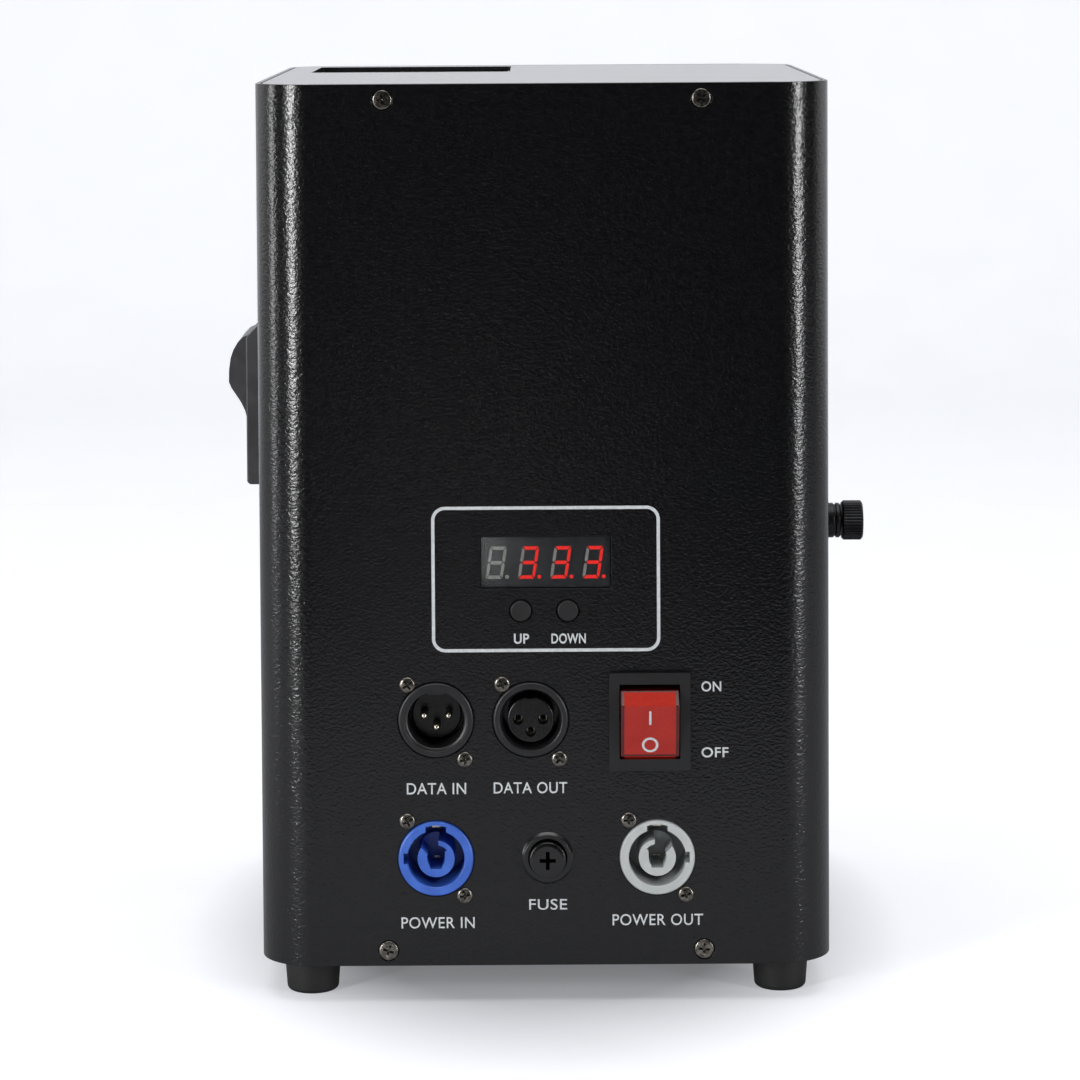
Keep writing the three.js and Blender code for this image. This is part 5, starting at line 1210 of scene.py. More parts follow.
def latchParts():
    values, edge = latch, 0.9
    wall, face, low, top, chamfer = (values[key] for key in ("wall", "face", "low", "faceTop", "chamfer"))
    side = [(wall, low), (face + edge, low), (face, low + edge), (face, top),
            (face + chamfer, top + chamfer), (wall, values["top"])]
    frameShape = pushedY(side, values["near"], values["far"])
    box = block(*values["box"])
    y0, y1, z0, z1 = values["pocket"]
    pocket = block(face - 9, values["pocketBack"], y0, y1, z0, z1)
    channel = block(*values["channel"])
    pivotX, pivotZ = values["pivot"]
    pinHole = values["pin"] + values["pinPlay"]
    pinRoom = barY(pinHole, -values["pinRoom"], values["pinRoom"], 32, pivotX, 0, pivotZ)
    frameShape = cut(join(frameShape, box), pocket, channel, pinRoom)
    finishPiece("latchFrame", frameShape, inMetres, "latch_black", "latch_frame", body="door", roundMm=0.5,
                segments=3)
    body = pushedY(paddle, -values["half"], values["half"])
    tops = [values["grooveTop"] - values["groovePitch"] * k for k in range(3)]
    grooves = [block(*values["grooveAt"], top - values["groove"], top) for top in tops]
    body = cut(body, barY(pinHole, -30, 30, 32), *grooves)
    where = inMetres @ Matrix.Translation((pivotX, 0, pivotZ))
    finishPiece("latchPaddle", body, where, "latch_black", "latch_paddle", body="latch_paddle",
                roundMm=0.45, segments=3, angle=28)
    pin = alongY(roundedBar(values["pin"] / 2, -values["pinEnd"], values["pinEnd"], 0.25))
    finishPiece("latchPin", moved(pin, pivotX, 0, pivotZ), inMetres, "steel_pin", "latch_pin", body="door",
                roundMm=0)
    x0, x1, y0, y1, z0, z1 = values["bolt"]
    bolt = block(x0, x1, y0, y1, z0, z1)
    nose = prism([(x0 - 1, y0 - 1), (x1 - 1, y0 - 1), (x0 - 1, y0 + 4)], z0 - 1, z1 + 1)
    slot = block(x0 - 1, x1 + 1, y1 - 9, y1 - 4, z0 + 3, z1 - 3)
    finishPiece("latchBolt", cut(bolt, nose, slot), inMetres, "steel_pin", "latch_bolt", body="latch_bolt",
                roundMm=0.3)


# Knurled screw in the right wall: ferrule, head with straight grooves, thread, retaining ring and clinch nut.
knob = {"at": (93, -38.1, 146.7), "ferrule": 11.8, "ferruleLow": 0.2, "ferruleHigh": 7.7, "head": 13.4,
        "headLow": 8.1, "headHigh": 15.2, "grooves": 40, "groove": 0.32, "thread": 5, "pitch": 0.8,
        "reach": -19, "clip": 9, "clipLow": -9.5, "clipHigh": -8.5, "nut": 11, "nutLow": -18.2,
        "nutHigh": -12.7}


def knobParts():
    where = inMetres @ Matrix.Translation(knob["at"]) @ Matrix.Rotation(math.pi / 2, 4, "Y")
    low, high = knob["ferruleLow"], knob["ferruleHigh"]
    rim, bore = knob["ferrule"] / 2, knob["thread"] / 2 + 0.25
    ferrule = lathe([(bore, low), (rim - 1.4, low), (rim - 1.2, low + 0.9), (rim - 0.35, low + 1.5),
                     (rim, low + 2.1), (rim, high - 2.4), (rim - 0.45, high - 2.2),
                     (rim - 0.45, high - 1.7), (rim, high - 1.5), (rim, high - 0.5), (rim - 0.5, high),
                     (bore, high), (bore, low)], 96)
    finishPiece("screwFerrule", ferrule, where, "knob_black", "screw_ferrule", roundMm=0.1)
    radius, low, high, deep = knob["head"] / 2, knob["headLow"], knob["headHigh"], knob["groove"]
    rimPoints = []
    for k in range(knob["grooves"]):
        for share, reach in ((0, radius - deep), (0.3, radius - 0.05), (0.5, radius), (0.7, radius - 0.05)):
            angle = (k + share) * 2 * math.pi / knob["grooves"]
            rimPoints.append((reach * math.cos(angle), reach * math.sin(angle)))
    head = prism(rimPoints, low, high)
    collar = lathe([(radius - 0.55, low - 1), (radius + 2, low - 1), (radius + 2, low + 0.7),
                    (radius, low + 0.7), (radius - 0.7, low), (radius - 0.55, low - 1)], 96)
    crown = lathe([(radius - 0.9, high + 1), (radius - 0.7, high), (radius, high - 0.7),
                   (radius + 2, high - 0.7), (radius + 2, high + 1), (radius - 0.9, high + 1)], 96)
    dish = lathe([(0, high - 0.35), (radius - 2.2, high - 0.35), (radius - 1.7, high + 0.02),
                  (radius - 1.7, high + 1), (0, high + 1)], 64)
    head = cut(head, collar, crown, dish)
    outer, inner = knob["thread"] / 2, knob["thread"] / 2 - 0.4
    profile = [(0, knob["reach"]), (inner - 0.5, knob["reach"]), (inner, knob["reach"] + 0.6)]
    for k in range(12):
        base = knob["reach"] + 0.7 + k * knob["pitch"]
        profile += [(inner, base), (outer, base + 0.36), (outer, base + 0.44)]
    profile += [(inner, knob["reach"] + 10.4), (outer, knob["reach"] + 10.6), (outer, low + 0.5),
                (0, low + 0.5)]
    finishPiece("thumbScrew", together(head, lathe(profile, 48)), where, "knob_black", "thumbscrew",
                body="thumbscrew", roundMm=0.06, angle=42)
    clip = lathe([(bore, knob["clipLow"]), (knob["clip"] / 2, knob["clipLow"]),
                  (knob["clip"] / 2, knob["clipHigh"]), (bore, knob["clipHigh"]), (bore, knob["clipLow"])],
                 64)
    gap = block(0, 9, -0.9, 0.9, knob["clipLow"] - 1, knob["clipHigh"] + 1)
    finishPiece("retainingRing", cut(clip, gap), where, "steel_pin", "thumbscrew_clip", body="screw_slide",
                roundMm=0.1)
    low, high = knob["nutLow"], knob["nutHigh"]
    nut = prism(circle(knob["nut"], 0, 0, 6), low, high)
    trim = lathe([(4.6, low - 1), (9, low - 1), (9, low + 1.1), (4.6, low - 0.1), (4.6, low - 1)], 64)
    threads = [moved(rod(knob["thread"] + 0.5, low - 1, high + 1, 48), 0, 0)]
    finishPiece("clinchNut", cut(nut, trim, *threads), where, "steel_pin", "tray_nut", roundMm=0.1)


fuelDoorParts()
hingeParts()
latchParts()
knobParts()
print("door, latch and knurled screw made")


# Inside: fuel can in its cradle, the clip, and the valve button that the lever presses.
can = {"at": (-46.1, 53.5), "bottom": 15.4, "radius": 28.5, "shoulder": 158, "rim": 13.5,
       "cradle": (28.9, 30.3, 13.7, 35.7), "clip": (28.9, 30, 133.4, 147.4), "mouth": 25, "firewallX": -6.2,
       "dome": 17, "valveRibs": 16, "bores": 17, "tab": 5.5}
canBase = [(0, 6), (9, 5.5), (16, 3.9), (22, 1.4), (24.2, 0.15), (25.3, 0.02), (26.6, 0.5), (27.4, 1.6),
           (27.6, 2.6), (28.1, 3.2)]
canCollar = [(12.3, 171.6), (13.2, 172.2), (13.5, 173.2), (13.5, 174.8), (13, 175.7), (12, 176),
             (11.1, 175.4), (10.7, 173.5), (5.4, 173.4), (4.9, 175), (4.4, 176), (3.5, 176), (3.5, 168),
             (0, 168)]
canValve = [(0, 187.4), (3.2, 187.4), (3.2, 194.6), (6.4, 194.6), (7, 195.2), (7, 196.4), (6.6, 196.8),
            (6.6, 202.2), (5.2, 204.6), (4.6, 205), (2.2, 205), (2.2, 207.5), (1.8, 208), (0.9, 208),
            (0.9, 204), (0, 204)]


def fuelCanParts():
    x, y = can["at"]
    r, rim, base = can["radius"], can["rim"], can["bottom"]
    shoulder = can["shoulder"] - 4
    profile = canBase + [(r, 4), (r, 30), (r - 0.18, 30.4), (r - 0.18, 31), (r, 31.4), (r, shoulder)]
    quarter = [k / 10 * math.pi / 2 for k in range(11)]
    profile += [(rim + (r - rim) * math.cos(a), shoulder + can["dome"] * math.sin(a))
                for a in quarter] + canCollar
    finishPiece("fuelCan", moved(lathe(profile, 128), x, y, base), inMetres, "can_tin", "fuel_can",
                roundMm=0)
    step = 2 * math.pi / can["valveRibs"]
    ribs = [moved(block(6.3, 8, -0.28, 0.28, 197.2, 202), turn=k * step) for k in range(can["valveRibs"])]
    finishPiece("canValve", moved(cut(lathe(canValve, 96), *ribs), x, y), inMetres, "valve_white",
                "can_valve", body="can_valve", roundMm=0.1)
    inner, outer, low, high = can["cradle"]
    cup = lathe([(0, low), (outer - 1.5, low), (outer - 0.4, low + 0.4), (outer, low + 1.5), (outer, high),
                 (inner, high), (inner, low + 2), (inner - 0.6, low + 1.4), (0, low + 1.4)], 128)
    tools = [block(-outer - 2, 0, -can["mouth"], can["mouth"], low + 1.4, high + 2)]
    out = can["bores"]
    tools += [moved(rod(5, low - 2, low + 4, 32), out * math.cos(a), out * math.sin(a))
              for a in (0.6, 2.2, 3.8, 5.4)]
    tools += [moved(barX(7, 0, 60, 32), 0, 0, low + 11, a) for a in (-0.9, 0, 0.9)]
    finishPiece("canCradle", moved(cut(cup, *tools), x, y), inMetres, "bare_plate", "can_cradle",
                roundMm=0.2)
    inner, outer, low, high = can["clip"]
    ring = lathe([(inner, low), (outer, low), (outer, high), (inner, high), (inner, low)], 128)
    ring = cut(ring, block(-outer - 2, 0, -can["mouth"], can["mouth"], low - 2, high + 2))
    tab = block(outer - 0.6, can["firewallX"] - x, -can["tab"], can["tab"], low, high)
    eye = barX(4, 0, 60, 32, 0, 0, low + 7)
    finishPiece("canClip", moved(cut(join(ring, tab), eye), x, y), inMetres, "bare_plate", "can_clip",
                roundMm=0.25)


# Lever, bracket, solenoid and plunger, about the lever's pin.
press = {"at": (-46.1, 20, 207), "half": 5, "pin": 3, "pinEnd": 8.6, "under": -1.4, "over": 1.6,
         "back": 33.5, "tail": 28, "front": -34, "hub": 8, "pinHole": 3.4, "ring": 20, "ringHole": 8}
bracket = {"sheet": 1.5, "left": -15, "right": 39.9, "front": -43, "behind": -11.18, "low": -38.9,
           "riser": -9.4, "ears": (7, 8.6), "ear": [(-11.2, -38.9), (5.2, -38.9), (5.2, 1), (3.6, 4.2),
                                                    (1.4, 5.6), (-7.4, 5.6), (-9.9, 4.4), (-11.2, 1.6)],
           "footX": 22, "footY": (-17, -33), "foot": 3.4, "wallY": (-36, -18), "wallZ": -20,
           "wallHole": 4.4}


def pressGearParts():
    where = inMetres @ Matrix.Translation(press["at"])
    half, under, over, back = press["half"], press["under"], press["over"], press["back"]
    front, bore = press["front"], press["pinHole"]
    tip = [(-half, front + 1), (-half + 1, front), (half - 1, front), (half, front + 1)]
    arm = prism(tip + [(half, back), (-half, back)], under, over)
    ring = prism(circle(press["ring"], 0, back, 72), under, over)
    hub = barX(press["hub"], -half, half, 48)
    hub = cut(hub, block(-9, 9, -9, 9, -9, under))
    tools = [prism(circle(press["ringHole"], 0, back, 48), under - 2, over + 2), barX(bore, -9, 9, 32),
             prism(roundedRect(4, 14, 2, 0, 13, 8), under - 2, over + 2)]
    lever = join(arm, ring, hub)
    finishPiece("pressLever", cut(lever, *tools), where, "steel_pin", "press_lever", body="press_lever",
                roundMm=0.35, segments=3)
    pin = alongX(roundedBar(press["pin"] / 2, -press["pinEnd"], press["pinEnd"], 0.3))
    finishPiece("leverPin", pin, where, "steel_pin", "lever_pin", roundMm=0)
    sheet, right, low, y0, y1 = (bracket[key] for key in ("sheet", "right", "low", "front", "behind"))
    shelf = block(bracket["left"], right, y0, y1, low, low + sheet)
    riser = block(right - sheet, right, y0, y1, low, bracket["riser"])
    ears = []
    for side in (-1, 1):
        ears.append(pushedX(bracket["ear"], *sorted(side * out for out in bracket["ears"])))
    tools = [barX(bore, -20, 20, 32)]
    tools += [moved(rod(bracket["foot"], -50, -30, 24), bracket["footX"], fy) for fy in bracket["footY"]]
    tools += [barX(bracket["wallHole"], 30, 50, 24, 0, wy, bracket["wallZ"]) for wy in bracket["wallY"]]
    finishPiece("leverBracket", cut(join(shelf, riser, *ears), *tools), where, "bare_plate",
                "lever_bracket", roundMm=0.25)


solenoid = {"half": 11, "low": -37.2, "high": -7.28, "sheet": 1.6, "coil": (21, 17), "cheek": (21.6, 20),
            "well": 6.6}


def solenoidParts():
    x, y, z = press["at"]
    where = inMetres @ Matrix.Translation((x, y - press["tail"], z))
    half, low, high, sheet = (solenoid[key] for key in ("half", "low", "high", "sheet"))
    coil = prism(roundedRect(*solenoid["coil"], 7.5, steps=16), low + 2.2, high - 2.2)
    cheeks = [prism(roundedRect(*solenoid["cheek"], 2, steps=6), z0, z0 + 1.5)
              for z0 in (low + 1.4, high - 2.9)]
    yoke = [block(-half, half, -half, half, low, low + sheet),
            block(-half, half, -half, half, high - sheet, high),
            block(-half, half, half - sheet, half, low, high)]
    well = rod(solenoid["well"], -25.5, high + 2, 48)
    body = cut(join(coil, *cheeks, *yoke), well)
    finishPiece("solenoidCoil", body, where, "coil_dark", "solenoid", roundMm=0.3)
    reach = lathe([(0, -25.3), (2.4, -25.3), (3, -24.4), (3, -4.6), (2.2, -3.9), (2.2, -3.1), (3, -2.6),
                   (3, -2.2), (2.8, -2), (0, -2)], 64)
    finishPiece("solenoidPlunger", reach, where, "steel_pin", "solenoid_plunger", body="solenoid_plunger",
                roundMm=0)


# Flame duct with a rolled top flange, and two electrodes in glazed insulators.
duct = {"outer": (-82.7, -9.5, 20.1, 86.9), "wall": 1.1, "flange": 2.2, "low": 216.5, "top": 296.3,
        "lipThick": 1.1, "axis": (-46.1, 53.5), "electrodeZ": 232.5, "spread": 9, "seat": 19.9, "gap": 2.5,
        "electrodeHole": 8.5, "vent": 4, "ventLow": 226, "ventSteps": (8, 7), "ventCounts": (7, 2),
        "ventEdge": 24, "wire": 2.48, "wireBack": 20, "wireOut": 9.5, "wireSides": 20, "blunt": 0.72,
        "bendSteps": 12}


def flameDuctParts():
    x0, x1, y0, y1 = duct["outer"]
    wall, lip, low, top = duct["wall"], duct["flange"], duct["low"], duct["top"]
    middle = ((x0 + x1) / 2, (y0 + y1) / 2)
    wide, deep = x1 - x0, y1 - y0
    tube = prism(roundedRect(wide, deep, 3, *middle, 6), low, top)
    flange = prism(roundedRect(wide + 2 * lip, deep + 2 * lip, 3, *middle, 6), top - duct["lipThick"], top)
    bore = prism(roundedRect(wide - 2 * wall, deep - 2 * wall, 2, *middle, 6), low - 2, top + 2)
    cx = duct["axis"][0]
    holes = [barY(duct["electrodeHole"], y0 - 5, y0 + 5, 40, cx + side * duct["spread"], 0,
                  duct["electrodeZ"]) for side in (-1, 1)]
    (across, up), (columns, rows) = duct["ventSteps"], duct["ventCounts"]
    start = cx - duct["ventEdge"]
    vents = [barY(duct["vent"], y1 - 5, y1 + 5, 24, start + across * k, 0, duct["ventLow"] + up * row)
             for k in range(columns) for row in range(rows)]
    seam = [block(x1 - 0.3, x1 + 2, middle[1] - 0.2, middle[1] + 0.2, low - 1, top - 2)]
    finishPiece("flameDuct", cut(join(tube, flange), bore, *holes, *vents, *seam), inMetres, "duct_steel",
                "flame_duct", roundMm=0.2)


def electrodeParts():
    cx, height, seat = duct["axis"][0], duct["electrodeZ"], duct["seat"]
    for name, side in (("left", -1), ("right", 1)):
        x = cx + side * duct["spread"]
        profile = [(1.5, -14), (3.4, -14), (3.9, -13.6)]
        for k in range(4):
            base = -12.6 + 2.2 * k
            profile += [(4, base), (3.3, base + 0.5), (3.3, base + 1.1), (4, base + 1.6)]
        profile += [(5.6, -3), (6, -2.6), (6, -0.4), (5.6, 0), (4, 0), (4, 5.8), (3, 7), (1.5, 7),
                    (1.5, -14)]
        shape = moved(alongY(lathe(profile, 64)), x, seat, height)
        finishPiece("insulator-" + name, shape, inMetres, "ceramic", "insulator_" + name, roundMm=0.1)
        startY = seat + duct["wireOut"]
        points = [(0, seat - duct["wireBack"]), (0, startY)]
        tipX, tipY = -side * (duct["spread"] - duct["gap"]), duct["axis"][1]
        for k in range(duct["bendSteps"]):
            u = (k + 1) / duct["bendSteps"]
            points.append((tipX * u * u, startY + (tipY - startY) * u))
        wire = bmesh.new()
        rings, last = [], len(points) - 1
        turns = [i * 2 * math.pi / duct["wireSides"] for i in range(duct["wireSides"])]
        for k, (px, py) in enumerate(points):
            r = duct["wire"] / 2 * (duct["blunt"] if k in (0, last) else 1)
            near, far = points[max(k - 1, 0)], points[min(k + 1, last)]
            run = math.hypot(far[0] - near[0], far[1] - near[1])
            ax, ay = (far[1] - near[1]) / run, -(far[0] - near[0]) / run
            spots = [(x + px + ax * r * math.cos(a), py + ay * r * math.cos(a), height + r * math.sin(a))
                     for a in turns]
            rings.append([wire.verts.new(spot) for spot in spots])
        for first, second in zip(rings, rings[1:]):
            bridge(wire, first, second)
        wire.faces.new(rings[0][::-1])
        wire.faces.new(rings[-1])
        bmesh.ops.recalc_face_normals(wire, faces=wire.faces)
        finishPiece("electrode-" + name, wire, inMetres, "steel_pin", "electrode_" + name, roundMm=0)


# Electronics side: tray, closed power supply, firewall, ignition module and control board.
tray = {"sheet": (80.5, 82, -58, 90, 13.7, 175), "foot": (62, 82, -58, 90, 13.7, 15.2),
        "hole": (-38.1, 146.7, 5.5), "cut": 6, "wallHole": 8, "wallZ": 162, "wallY": (-44, 20, 76),
        "footHole": 4.4, "footX": 68, "footY": (-48, 16, 80)}
supply = {"box": (42.3, 80.3, -21, 87, 33.2, 128.2), "lid": 1.2, "slots": 9, "slot": 2.4, "slotTall": 50,
          "slotLong": 24, "slotFirst": 16, "slotPitch": 9.5, "overlap": 9}
firewall = {"long": (-6, -4.8, -50.2, 98.9), "short": (-89.6, -4.8, -50.2, -49), "low": 13.7, "high": 296.3}
igniter = {"box": (-4.6, 23.4, -10, 50, 215, 249)}


def electronicsParts():
    x0, x1, y0, y1, z0, z1 = tray["sheet"]
    corner = tray["cut"]
    outline = [(y0, z0), (y1, z0), (y1, z1 - corner), (y1 - corner, z1), (y0 + corner, z1),
               (y0, z1 - corner)]
    upright = pushedX(outline, x0, x1)
    foot = block(*tray["foot"])
    y, z, wide = tray["hole"]
    holes = [barX(wide, 60, 90, 40, 0, y, z)]
    holes += [barX(tray["wallHole"], 60, 90, 40, 0, wy, tray["wallZ"]) for wy in tray["wallY"]]
    holes += [moved(rod(tray["footHole"], 10, 20, 32), tray["footX"], fy) for fy in tray["footY"]]
    finishPiece("electronicsTray", cut(join(upright, foot), *holes), inMetres, "bare_plate",
                "electronics_tray", roundMm=0.25)
    x0, x1, y0, y1, z0, z1 = supply["box"]
    wide, edge = supply["slot"], supply["overlap"]
    body = block(x0, x1, y0, y1, z0, z1)
    step = [block(x0 - 2, x0 + 0.25, y0 - 2, y1 + 2, start, end)
            for start, end in ((z0 - 2, z0 + edge), (z1 - edge, z1 + 2))]
    slots = []
    rows = [y0 + supply["slotFirst"] + k * supply["slotPitch"] for k in range(supply["slots"])]
    for row in rows:
        upright = alongX(prism(roundedRect(wide, supply["slotTall"], wide / 2), -3, 3))
        slots.append(moved(upright, x0, row, (z0 + z1) / 2))
    for row in rows:
        flat = roundedRect(wide, supply["slotLong"], wide / 2, x0 + 19, row)
        slots.append(prism(flat, z1 - supply["lid"], z1 + 2))
    terminals = block(x0 + 4, x1 - 8, y0 - 2, y0 + 9, z0 + 16, z0 + 34)
    finishPiece("powerSupply", cut(body, *step, *slots, terminals), inMetres, "bare_plate", "power_supply",
                roundMm=0.3)
    row = [block(x0 + 4.5, x1 - 8.5, y0 + 0.6, y0 + 8.8, z0 + 17, z0 + 20)]
    row += [block(x0 + 5 + k * 5, x0 + 5.9 + k * 5, y0 + 0.4, y0 + 8.8, z0 + 18, z0 + 32) for k in range(6)]
    finishPiece("terminalBlock", join(*row), inMetres, "socket_black", roundMm=0.15)
    screws = [barY(3.2, 1.5, 8.6, 24, x0 + 8 + k * 5, y0, z0 + 25) for k in range(5)]
    finishPiece("terminalScrews", together(*screws), inMetres, "contact_metal", roundMm=0.15)
    low, high = firewall["low"], firewall["high"]
    longLeg = block(*firewall["long"], low, high)
    shortLeg = block(*firewall["short"], low, high)
    beads = [block(-5.1, -4, 10, 13, low + 24 + 60 * k, low + 64 + 60 * k) for k in range(4)]
    beads += [block(-70 + 24 * k, -67 + 24 * k, -50.6, -49.95, low + 30, high - 90) for k in range(3)]
    finishPiece("firewallSheets", cut(join(longLeg, shortLeg), *beads), inMetres, "bare_plate", "firewall",
                roundMm=0.2)
    x0, x1, y0, y1, z0, z1 = igniter["box"]
    body = block(x0, x1, y0, y1, z0, z1)
    pour = block(x0 + 2, x1 - 2, y0 + 2, y1 - 2, z1 - 1.5, z1 + 2)
    ribs = [block(x1 - 1, x1 + 2, y0 + 8 + 8 * k, y0 + 10 + 8 * k, z0 + 4, z1 - 4) for k in range(6)]
    outlets = [barY(5, -1, 2.2, 32, x0 + 9 + 10 * k, y0, z0 + 20) for k in range(2)]
    finishPiece("ignitionModule", cut(body, pour, *ribs, *outlets), inMetres, "ignition_black",
                "ignition_module", roundMm=0.5, segments=3)


# Control board behind the display: copper pads, a controller chip, key switches and pin headers.
board = {"at": (0.45, 130), "size": (65, 46, 1.5), "low": -11.5, "high": -9.9, "inset": 3.5, "post": 5.4,
         "postTop": -1.75}


def controlBoard():
    x, y = board["at"]
    wide, tall, corner = board["size"]
    low, high = board["low"], board["high"]
    sheet = prism(roundedRect(wide, tall, corner, x, y), low, high)
    corners = [(x + sx * (wide / 2 - board["inset"]), y + sy * (tall / 2 - board["inset"]))
               for sx in (-1, 1) for sy in (-1, 1)]
    screwHoles = [moved(rod(3, low - 2, high + 2, 32), cx, cy) for cx, cy in corners]
    finishPiece("controlBoard", cut(sheet, *screwHoles), panelSpot(0, 0), "board_green", "control_board",
                roundMm=0.08)
    posts = []
    for cx, cy in corners:
        post = cut(rod(board["post"], high, board["postTop"], 6),
                   rod(2.6, high - 1, board["postTop"] + 1.25, 24))
        posts.append(moved(post, cx, cy))
    finishPiece("boardPosts", together(*posts), panelSpot(0, 0), "steel_pin", roundMm=0.1)
    keys = []
    for bx, by in shellCuts["buttons"]:
        keys.append(moved(cut(block(-3, 3, -3, 3, high, -6.3), rod(3.8, -8.6, -5, 32)), bx, by))
    chips = [block(x - 26, x - 19, y + 2, y + 10, high, high + 1.4),
             block(x + 22, x + 27, y - 14, y - 8, high, high + 1.2)]
    finishPiece("boardKeys", together(*keys, *chips), panelSpot(0, 0), "display_black", roundMm=0.15)


fuelCanParts()
pressGearParts()
solenoidParts()
flameDuctParts()
electrodeParts()
electronicsParts()
controlBoard()
print("inside made")


# A white paper sweep: floor, a wide bend and a wall.
sweep = {"width": 5000, "near": -540, "far": 1500, "bend": 700, "wall": 2600, "bendSteps": 24}


def paperSweep():
    profile = [(sweep["near"], 0)]
    for k in range(sweep["bendSteps"] + 1):
        angle = k / sweep["bendSteps"] * math.pi / 2
        profile.append((sweep["far"] + sweep["bend"] * math.sin(angle),
                        sweep["bend"] * (1 - math.cos(angle))))
    profile.append((sweep["far"] + sweep["bend"], sweep["wall"]))
    mesh = bpy.data.meshes.new("paperSweep")
    half = sweep["width"] / 2
    spots = [(side * half / 1000, y / 1000, z / 1000) for y, z in profile for side in (-1, 1)]
    faces = [(2 * i, 2 * i + 1, 2 * i + 3, 2 * i + 2) for i in range(len(profile) - 1)]
    mesh.from_pydata(spots, [], faces)
    for face in mesh.polygons:
        face.use_smooth = True
    piece = bpy.data.objects.new("paperSweep", mesh)
    scene.collection.objects.link(piece)
    # Matt white paper, uncoated. Camera rays see it lifted to white where the lamps reach it; near the case
    # the lift is held low, a painted shadow.
    material, parts = surface("uncoatedWhitePaper", ("#cdced1", "#d2d3d6"), (0.86, 0.94), 60, 4, 0.02)
    tree, shader = parts["tree"], parts["shader"]
    place = addNode(tree, "ShaderNodeTexCoord")
    parts = addNode(tree, "ShaderNodeSeparateXYZ", links={"Vector": place.outputs["Object"]})
    spread = addNode(tree, "ShaderNodeVectorMath", {"operation": "MULTIPLY"}, {1: (1.35, 0.85, 1)},
                     {0: place.outputs["Object"]})
    away = addNode(tree, "ShaderNodeVectorMath", {"operation": "LENGTH"},
                   links={0: spread.outputs["Vector"]})
    # Painted shadow: the lift grows with distance from the case, so the floor under and beside it stays
    # darker than the lamps alone make it.
    liftWithPaintedShadow = addNode(tree, "ShaderNodeMapRange", inputs={"From Min": 0.09, "From Max": 0.17, "To Min": 0.17,
                                                        "To Max": stage["paperLift"]},
                    links={"Value": away.outputs["Value"]})
    lift = addNode(tree, "ShaderNodeEmission", inputs={"Color": linearColor("#f3f5fa")},
                   links={"Strength": liftWithPaintedShadow.outputs["Result"]})
    path = addNode(tree, "ShaderNodeLightPath")
    blend = addNode(tree, "ShaderNodeAddShader")
    dark = addNode(tree, "ShaderNodeEmission", inputs={"Strength": 0.0})
    # Gloss sees the lift too, but only on the wall: the low floor stays plain for the coat to mirror.
    wall = addNode(tree, "ShaderNodeMapRange", inputs={"From Min": 0.7, "From Max": 1.5, "To Max": 0.78},
                   links={"Value": parts.outputs["Y"]})
    mirrored = addNode(tree, "ShaderNodeMath", {"operation": "MULTIPLY"},
                       links={0: wall.outputs["Result"], 1: path.outputs["Is Glossy Ray"]})
    shown = addNode(tree, "ShaderNodeMath", {"operation": "MAXIMUM"},
                    links={0: path.outputs["Is Camera Ray"], 1: mirrored.outputs["Value"]})
    choose = addNode(tree, "ShaderNodeMixShader", links={"Fac": shown.outputs["Value"]})
    tree.links.new(dark.outputs[0], choose.inputs[1])
    tree.links.new(lift.outputs[0], choose.inputs[2])
    tree.links.new(shader.outputs[0], blend.inputs[0])
    tree.links.new(choose.outputs[0], blend.inputs[1])
    tree.links.new(blend.outputs[0], tree.nodes["Material Output"].inputs["Surface"])
    mesh.materials.append(material)


# Lamps: a wide soft box overhead, and tall strips whose reflections run down the round corners.
stage = {
    "paperLift": 0.68,
    "worldLevel": 0.23,
    "worldShown": "#ffffff",
    "lamps": {
        "overhead": {"at": (0, -100, 1900), "aim": (0, 0, 150), "size": (1700, 1500), "power": 16},
        "leftStrip": {"at": (-1500, -160, 350), "aim": (0, 0, 160), "size": (170, 700), "power": 4.2},
        "leftFront": {"at": (-1050, -1250, 350), "aim": (0, 0, 160), "size": (160, 700), "power": 14.5},
        "rightStrip": {"at": (1170, -930, 350), "aim": (0, 0, 160), "size": (160, 700), "power": 9.3},
        "glassGlint": {"at": (-48, -1060, 4), "aim": (-20, -102, 148), "size": (50, 60), "power": 0.035},
    },
}


def placeLamps():
    for name, values in stage["lamps"].items():
        lamp = bpy.data.lights.new(name, "AREA")
        lamp.shape = "RECTANGLE"
        lamp.size, lamp.size_y = (side / 1000 for side in values["size"])
        lamp.energy = values["power"]
        holder = bpy.data.objects.new(name, lamp)
        holder.location = Vector(values["at"]) / 1000
        aim = Vector(values["aim"]) / 1000 - holder.location
        holder.rotation_euler = aim.to_track_quat("-Z", "Y").to_euler()
        holder.visible_camera = False
        scene.collection.objects.link(holder)


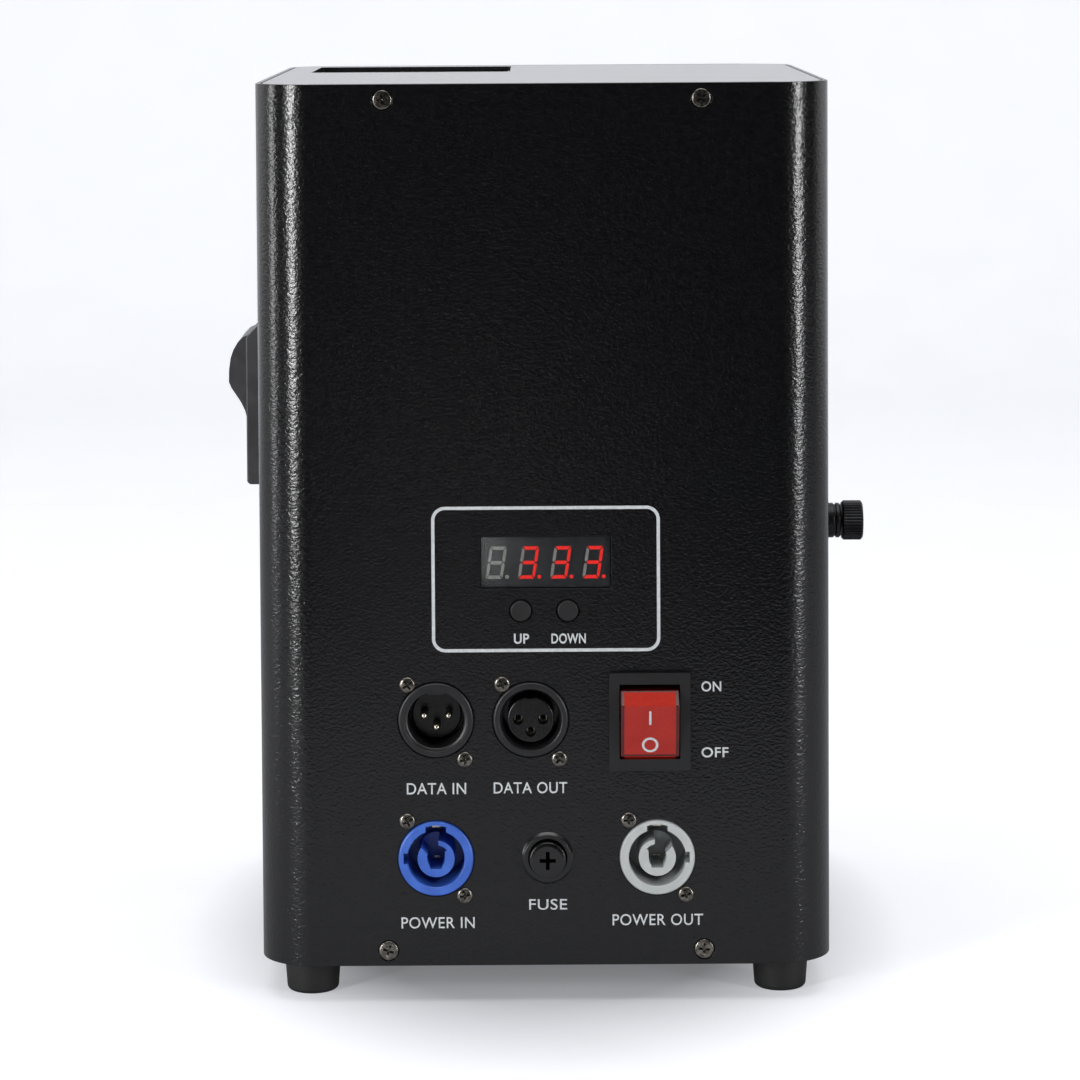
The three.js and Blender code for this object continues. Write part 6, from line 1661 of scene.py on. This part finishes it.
# The room: white where the camera, gloss and glass look past the paper, darker on the camera's own side.
def lightRoom():
    world = bpy.data.worlds.new("studioRoom")
    scene.world = world
    world.use_nodes = True
    tree = world.node_tree
    tree.nodes.clear()
    path = addNode(tree, "ShaderNodeLightPath")
    place = addNode(tree, "ShaderNodeTexCoord")
    parts = addNode(tree, "ShaderNodeSeparateXYZ", links={"Vector": place.outputs["Generated"]})
    depth = addNode(tree, "ShaderNodeMapRange", inputs={"From Min": 0.02, "From Max": 0.35, "To Min": 0.02,
                                                        "To Max": 1.0}, links={"Value": parts.outputs["Y"]})
    height = addNode(tree, "ShaderNodeMapRange", inputs={"From Min": 0.55, "From Max": 0.98, "To Min": 0.0,
                                                         "To Max": 1.0},
                     links={"Value": parts.outputs["Z"]})
    mirrored = addNode(tree, "ShaderNodeMath", {"operation": "MAXIMUM"},
                       links={0: depth.outputs["Result"], 1: height.outputs["Result"]})
    fill = addNode(tree, "ShaderNodeBackground", inputs={"Color": linearColor("#f2f4f8"),
                                                         "Strength": stage["worldLevel"]})
    seen = addNode(tree, "ShaderNodeBackground", inputs={"Color": linearColor(stage["worldShown"])})
    gloss = addNode(tree, "ShaderNodeBackground", inputs={"Color": linearColor(stage["worldShown"])},
                    links={"Strength": mirrored.outputs["Value"]})
    bright = addNode(tree, "ShaderNodeMath", {"operation": "MAXIMUM"},
                     links={0: path.outputs["Is Camera Ray"], 1: path.outputs["Is Transmission Ray"]})
    first = addNode(tree, "ShaderNodeMixShader", links={"Fac": path.outputs["Is Glossy Ray"]})
    tree.links.new(fill.outputs[0], first.inputs[1])
    tree.links.new(gloss.outputs[0], first.inputs[2])
    last = addNode(tree, "ShaderNodeMixShader", links={"Fac": bright.outputs["Value"]})
    tree.links.new(first.outputs[0], last.inputs[1])
    tree.links.new(seen.outputs[0], last.inputs[2])
    addNode(tree, "ShaderNodeOutputWorld", links={"Surface": last.outputs[0]})


# The photograph's viewpoint: square on to the connector face, from just above the top plate.
view = {
    "at": (-2.36, -1273.9, 337.64), "lens": 122, "sensor": 36,
    "down": 0.0516, "yaw": 0.0015, "roll": -0.0059,
    "photoWidth": 1080, "axisRow": 148.3,
}


def setCamera():
    lens = bpy.data.cameras.new("photoView")
    lens.lens, lens.sensor_width, lens.sensor_fit = view["lens"], view["sensor"], "HORIZONTAL"
    lens.shift_y = (view["axisRow"] - view["photoWidth"] / 2) / view["photoWidth"]
    lens.clip_start, lens.clip_end = 0.01, 50
    camera = bpy.data.objects.new("photoView", lens)
    aim = Matrix.Rotation(-view["yaw"], 4, "Z") @ Matrix.Rotation(math.pi / 2 - view["down"], 4, "X")
    turn = aim @ Matrix.Rotation(view["roll"], 4, "Z")
    camera.matrix_world = Matrix.Translation(Vector(view["at"]) / 1000) @ turn
    scene.collection.objects.link(camera)
    scene.camera = camera


paperSweep()
placeLamps()
lightRoom()
setCamera()
scene.view_settings.view_transform = "Standard"
print("stage and camera set")
